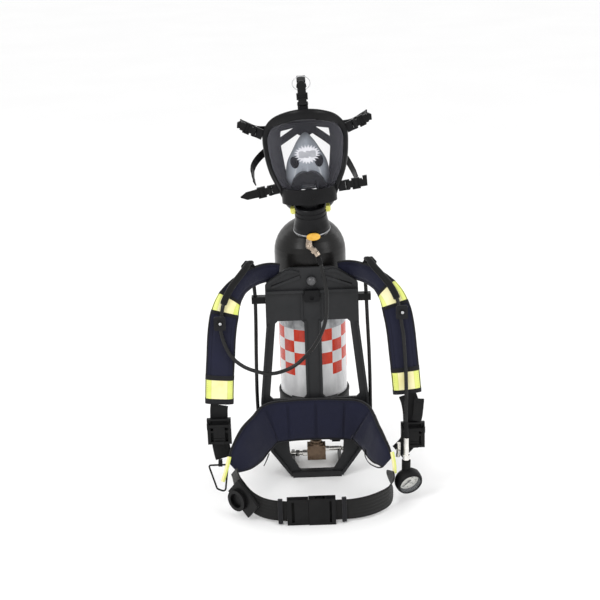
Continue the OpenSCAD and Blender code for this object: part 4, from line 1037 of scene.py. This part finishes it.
for y, k in ((127.6, 0.90), (127.3, 0.96), (128.2, 1.0), (131.4, 1.0), (132.6, 0.95), (132.9, 0.7),
             (131.8, 0.62), (131.6, 0.2)):
    rings.append(at(MASK, [[x, y, z] for x, z in middle + (pad_outline - middle) * k]))
loft("head_pad", rings, seal_mat, "mask")

# wire ring on the top buckle's tongue
th = np.linspace(0, 2 * math.pi, 49)[:-1]
wire = at(np.array(lug_matrix(0)), np.stack([44 + 15 * np.cos(th), 0 * th - 2, 19 * np.sin(th)], 1))
tt = tang(wire, True)
aa = square(unit(np.cross(wire[1] - wire[0], wire[12] - wire[0])), tt)
bb = np.cross(tt, aa)
rings = [wire[i] + 0.9 * circle(10) @ A([aa[i], bb[i]]) for i in range(len(wire))]
loft("top_wire_ring", rings, steel_mat, "buckle_top_body", loop=True, uv=False)

# ---------------------------------------------------------------- gauge face
GAUGE_AT = Vector((206, -148, 53))
DIAL_TURN = 90.0
DIAL_START, DIAL_SWEEP = 225, 270
G = Matrix.Translation(GAUGE_AT) @ Matrix.Rotation(math.radians(-71.5), 4, "Z") \
    @ Matrix.Rotation(math.radians(107.6), 4, "Y")
GM = np.array(G)


def dial(f, radius):
    """The point on the dial at a share f of its scale."""
    a = math.radians(DIAL_START - DIAL_SWEEP * f)
    return A([math.cos(a), math.sin(a)]) * radius


tv, tf = [], []
for k in range(31):
    r0, half_wide = (15.2, 0.55) if k % 5 == 0 else (17.6, 0.28)
    d = dial(k / 30, 1)
    tf.append((len(tv), len(tv) + 1, len(tv) + 3, len(tv) + 2))
    for radius in (r0, 20.2):
        for sg in (-1, 1):
            tv.append([*(d * radius + A([-d[1], d[0]]) * sg * half_wide), -2.36])
part("gauge_ticks", at(GM, tv), tf, ink_mat, "gauge_body", angle=60)
rv = [[*dial(0.19 * k / 16, radius), -2.42] for k in range(17) for radius in (13.8, 20.6)]
part("gauge_red_arc", at(GM, rv), [(2 * i, 2 * i + 1, 2 * i + 3, 2 * i + 2) for i in range(16)], red_mat,
     "gauge_body", angle=60)
for k, txt in enumerate(("0", "100", "200", "300")):
    text = bpy.data.curves.new("num" + txt, "FONT")
    text.body = txt
    text.size = 0.0048
    text.align_x = text.align_y = "CENTER"
    text.extrude = 0.00002
    ob = bpy.data.objects.new("tmp_num", text)
    bpy.context.scene.collection.objects.link(ob)
    dg = bpy.context.evaluated_depsgraph_get()
    me = bpy.data.meshes.new_from_object(ob.evaluated_get(dg))
    bpy.data.objects.remove(ob)
    x, y = dial(k / 3, 10.8) * MM
    num = bpy.data.objects.new("gauge_number_" + txt, me)
    me.materials.clear()
    me.materials.append(ink_mat)
    loc = Matrix.Translation((x, y, -2.35 * MM))
    gm = Matrix.Translation(GAUGE_AT * MM) @ G.to_3x3().to_4x4()
    me.transform(gm @ loc @ Matrix.Rotation(math.radians(DIAL_TURN), 4, "Z"))
    bpy.context.scene.collection.objects.link(num)
    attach(num, "gauge_body")

# ---------------------------------------------------------------- small details
SCREW = [(0, 0.3), (1.3, 0.3), (1.4, 1.2), (2.4, 1.5), (2.9, 0.9), (2.9, -0.2), (0, -0.2)]
for k, (x, z) in enumerate(((-16, 33), (16, 33), (-16, 57), (16, 57))):
    disc_part(f"reducer_screw_{k}", SCREW, place((x, 31.9, z), (0, -1, 0)), reducer_mat, n=20)
# floor of the parking ring
disc_part("holder_floor", [(0, 0), (20, 0), (20, 1.2), (0, 1.2)],
          place((-180.5, -188.8, 44), (-0.656, -0.755, 0)), buckle_mat)


def box(name, x0, x1, y0, y1, z0, z1, mat):
    return plate(name, [(x0, z0), (x1, z0), (x1, z1), (x0, z1)], y0, y1, mat)


box("buckle_seam", -24.6, -23.8, -237.4, -235.6, 2, 62, buckle_mat)
# webbing seen through the adjusters, and through the slots of the belt buckle and of the mask's buckles
for tag, x, z in (("left", -220, 182), ("right", 218, 157)):
    for piece, z0, z1 in (("fold", -24.6, -3.4), ("turn", 3.4, 26.6)):
        box(f"adjuster_{piece}_{tag}", x - 19.3, x + 19.3, -117.2, -115.4, z + z0, z + z1, web_mat)
for nm, x in (("socket", 24.5), ("plug", -59)):
    o = strap("buckle_web_" + nm, [[x, -230, z] for z in (3, 20, 44, 61)], [1, 0, 0], 8, 3.4, belt_mat)
for k, nm in enumerate(LUGS):
    for x in (13.7, (14, 15, 15, 18, 18)[k] + 4.7):
        soft_box(f"slot_strap_{nm}_{int(x)}", lug_matrix(k), x - 2.4, x + 2.4, 2.2, -9.6, 9.6, 0.6, seal_mat,
                 f"buckle_{nm}_body")
# carrying loop under the right side of the hip pad, and a tab under the left
loop_p = smooth([[112, -62, 96], [112, -66, 80], [121, -74, 66], [138, -84, 60], [150, -92, 66],
                 [152, -96, 80]], 6)
strap("hip_loop", loop_p, [0, 1, -0.4], 14, 1.8, web_mat)
strap("hip_tab", smooth([[-112, -60, 92], [-118, -64, 78], [-124, -66, 66]], 5), [0.2, 1, 0], 16, 2, web_mat)

# ---------------------------------------------------------------- CAD nodes that stay, with their finishes
FINISH = [
    (frame_mat, "backplate"), (latch_mat, "latch_housing cylinder_band"), (knob_mat, "latch_knob"),
    (wrap_mat, "cylinder_shell"), (steel_mat, "cylinder_liner band_lever"), (cap_mat, "cylinder_cap"),
    (boot_mat, "cylinder_boot gauge_boot"), (plated_mat, "valve_body hand_nut"),
    (wheel_mat, "valve_handwheel"), (reducer_mat, "reducer_body"),
    (chrome_mat, "outlet_fittings gauge_swivel whistle"), (clip_mat, "hose_clips"),
    (buckle_mat, "adjuster_frames adjuster_lever_left adjuster_lever_right d_ring buckle_socket buckle_plug"),
    (buckle_mat, "prong_upper prong_lower valve_holder " + " ".join("buckle_" + nm for nm in LUGS)),
    (dial_mat, "gauge_dial"), (lens_mat, "gauge_lens"), (needle_mat, "gauge_needle"),
    (valve_mat, "chin_housing dv_body"), (grille_mat, "speech_diaphragm"), (seal_mat, "inhalation_valves"),
    (ring_mat, "dv_rim_ring"), (amber_mat, "dv_button"), (pale_mat, "dv_release_left dv_release_right"),
    (warm_chrome, "dv_swivel")]
for mat, names in FINISH:
    for n in names.split():
        NODES[n].data.materials.clear()
        NODES[n].data.materials.append(mat)

# ---------------------------------------------------------------- floor and light
floor_mat = moulded("floor_pale", (0.955,) * 3, (0.975,) * 3, (0.75, 0.85), 40, 0.05, 1.5, 0)
me = bpy.data.meshes.new("floor")
me.from_pydata([(-30, -30, 0), (30, -30, 0), (30, 60, 0), (-30, 60, 0)], [], [(0, 1, 2, 3)])
me.materials.append(floor_mat)
floor = bpy.data.objects.new("floor", me)
bpy.context.scene.collection.objects.link(floor)

world = bpy.data.worlds.new("studio")
world.use_nodes = True
world.node_tree.nodes["Background"].inputs[0].default_value = (1.0, 1.0, 1.0, 1)
world.node_tree.nodes["Background"].inputs[1].default_value = 1.02
bpy.context.scene.world = world


def area(name, loc, target, wide, high, power):
    """A rectangular light aimed at a point, in metres and watts."""
    li = bpy.data.lights.new(name, "AREA")
    li.shape, li.size, li.size_y, li.energy = "RECTANGLE", wide, high, power
    o = bpy.data.objects.new(name, li)
    o.location = loc
    o.rotation_euler = (Vector(target) - Vector(loc)).to_track_quat("-Z", "Y").to_euler()
    bpy.context.scene.collection.objects.link(o)


area("key", (-1.6, -1.9, 2.3), (0, 0, 0.5), 0.9, 1.4, 26)
area("fill", (2.2, -1.5, 1.5), (0, 0, 0.5), 1.0, 1.6, 14)
for tag, x, y, z in (("left", -1.7, 1.4, 1.6), ("right", 1.8, 1.5, 1.4)):
    area("rim_" + tag, (x, y, z), (0, 0, 0.6), 0.5, 1.6, 4)
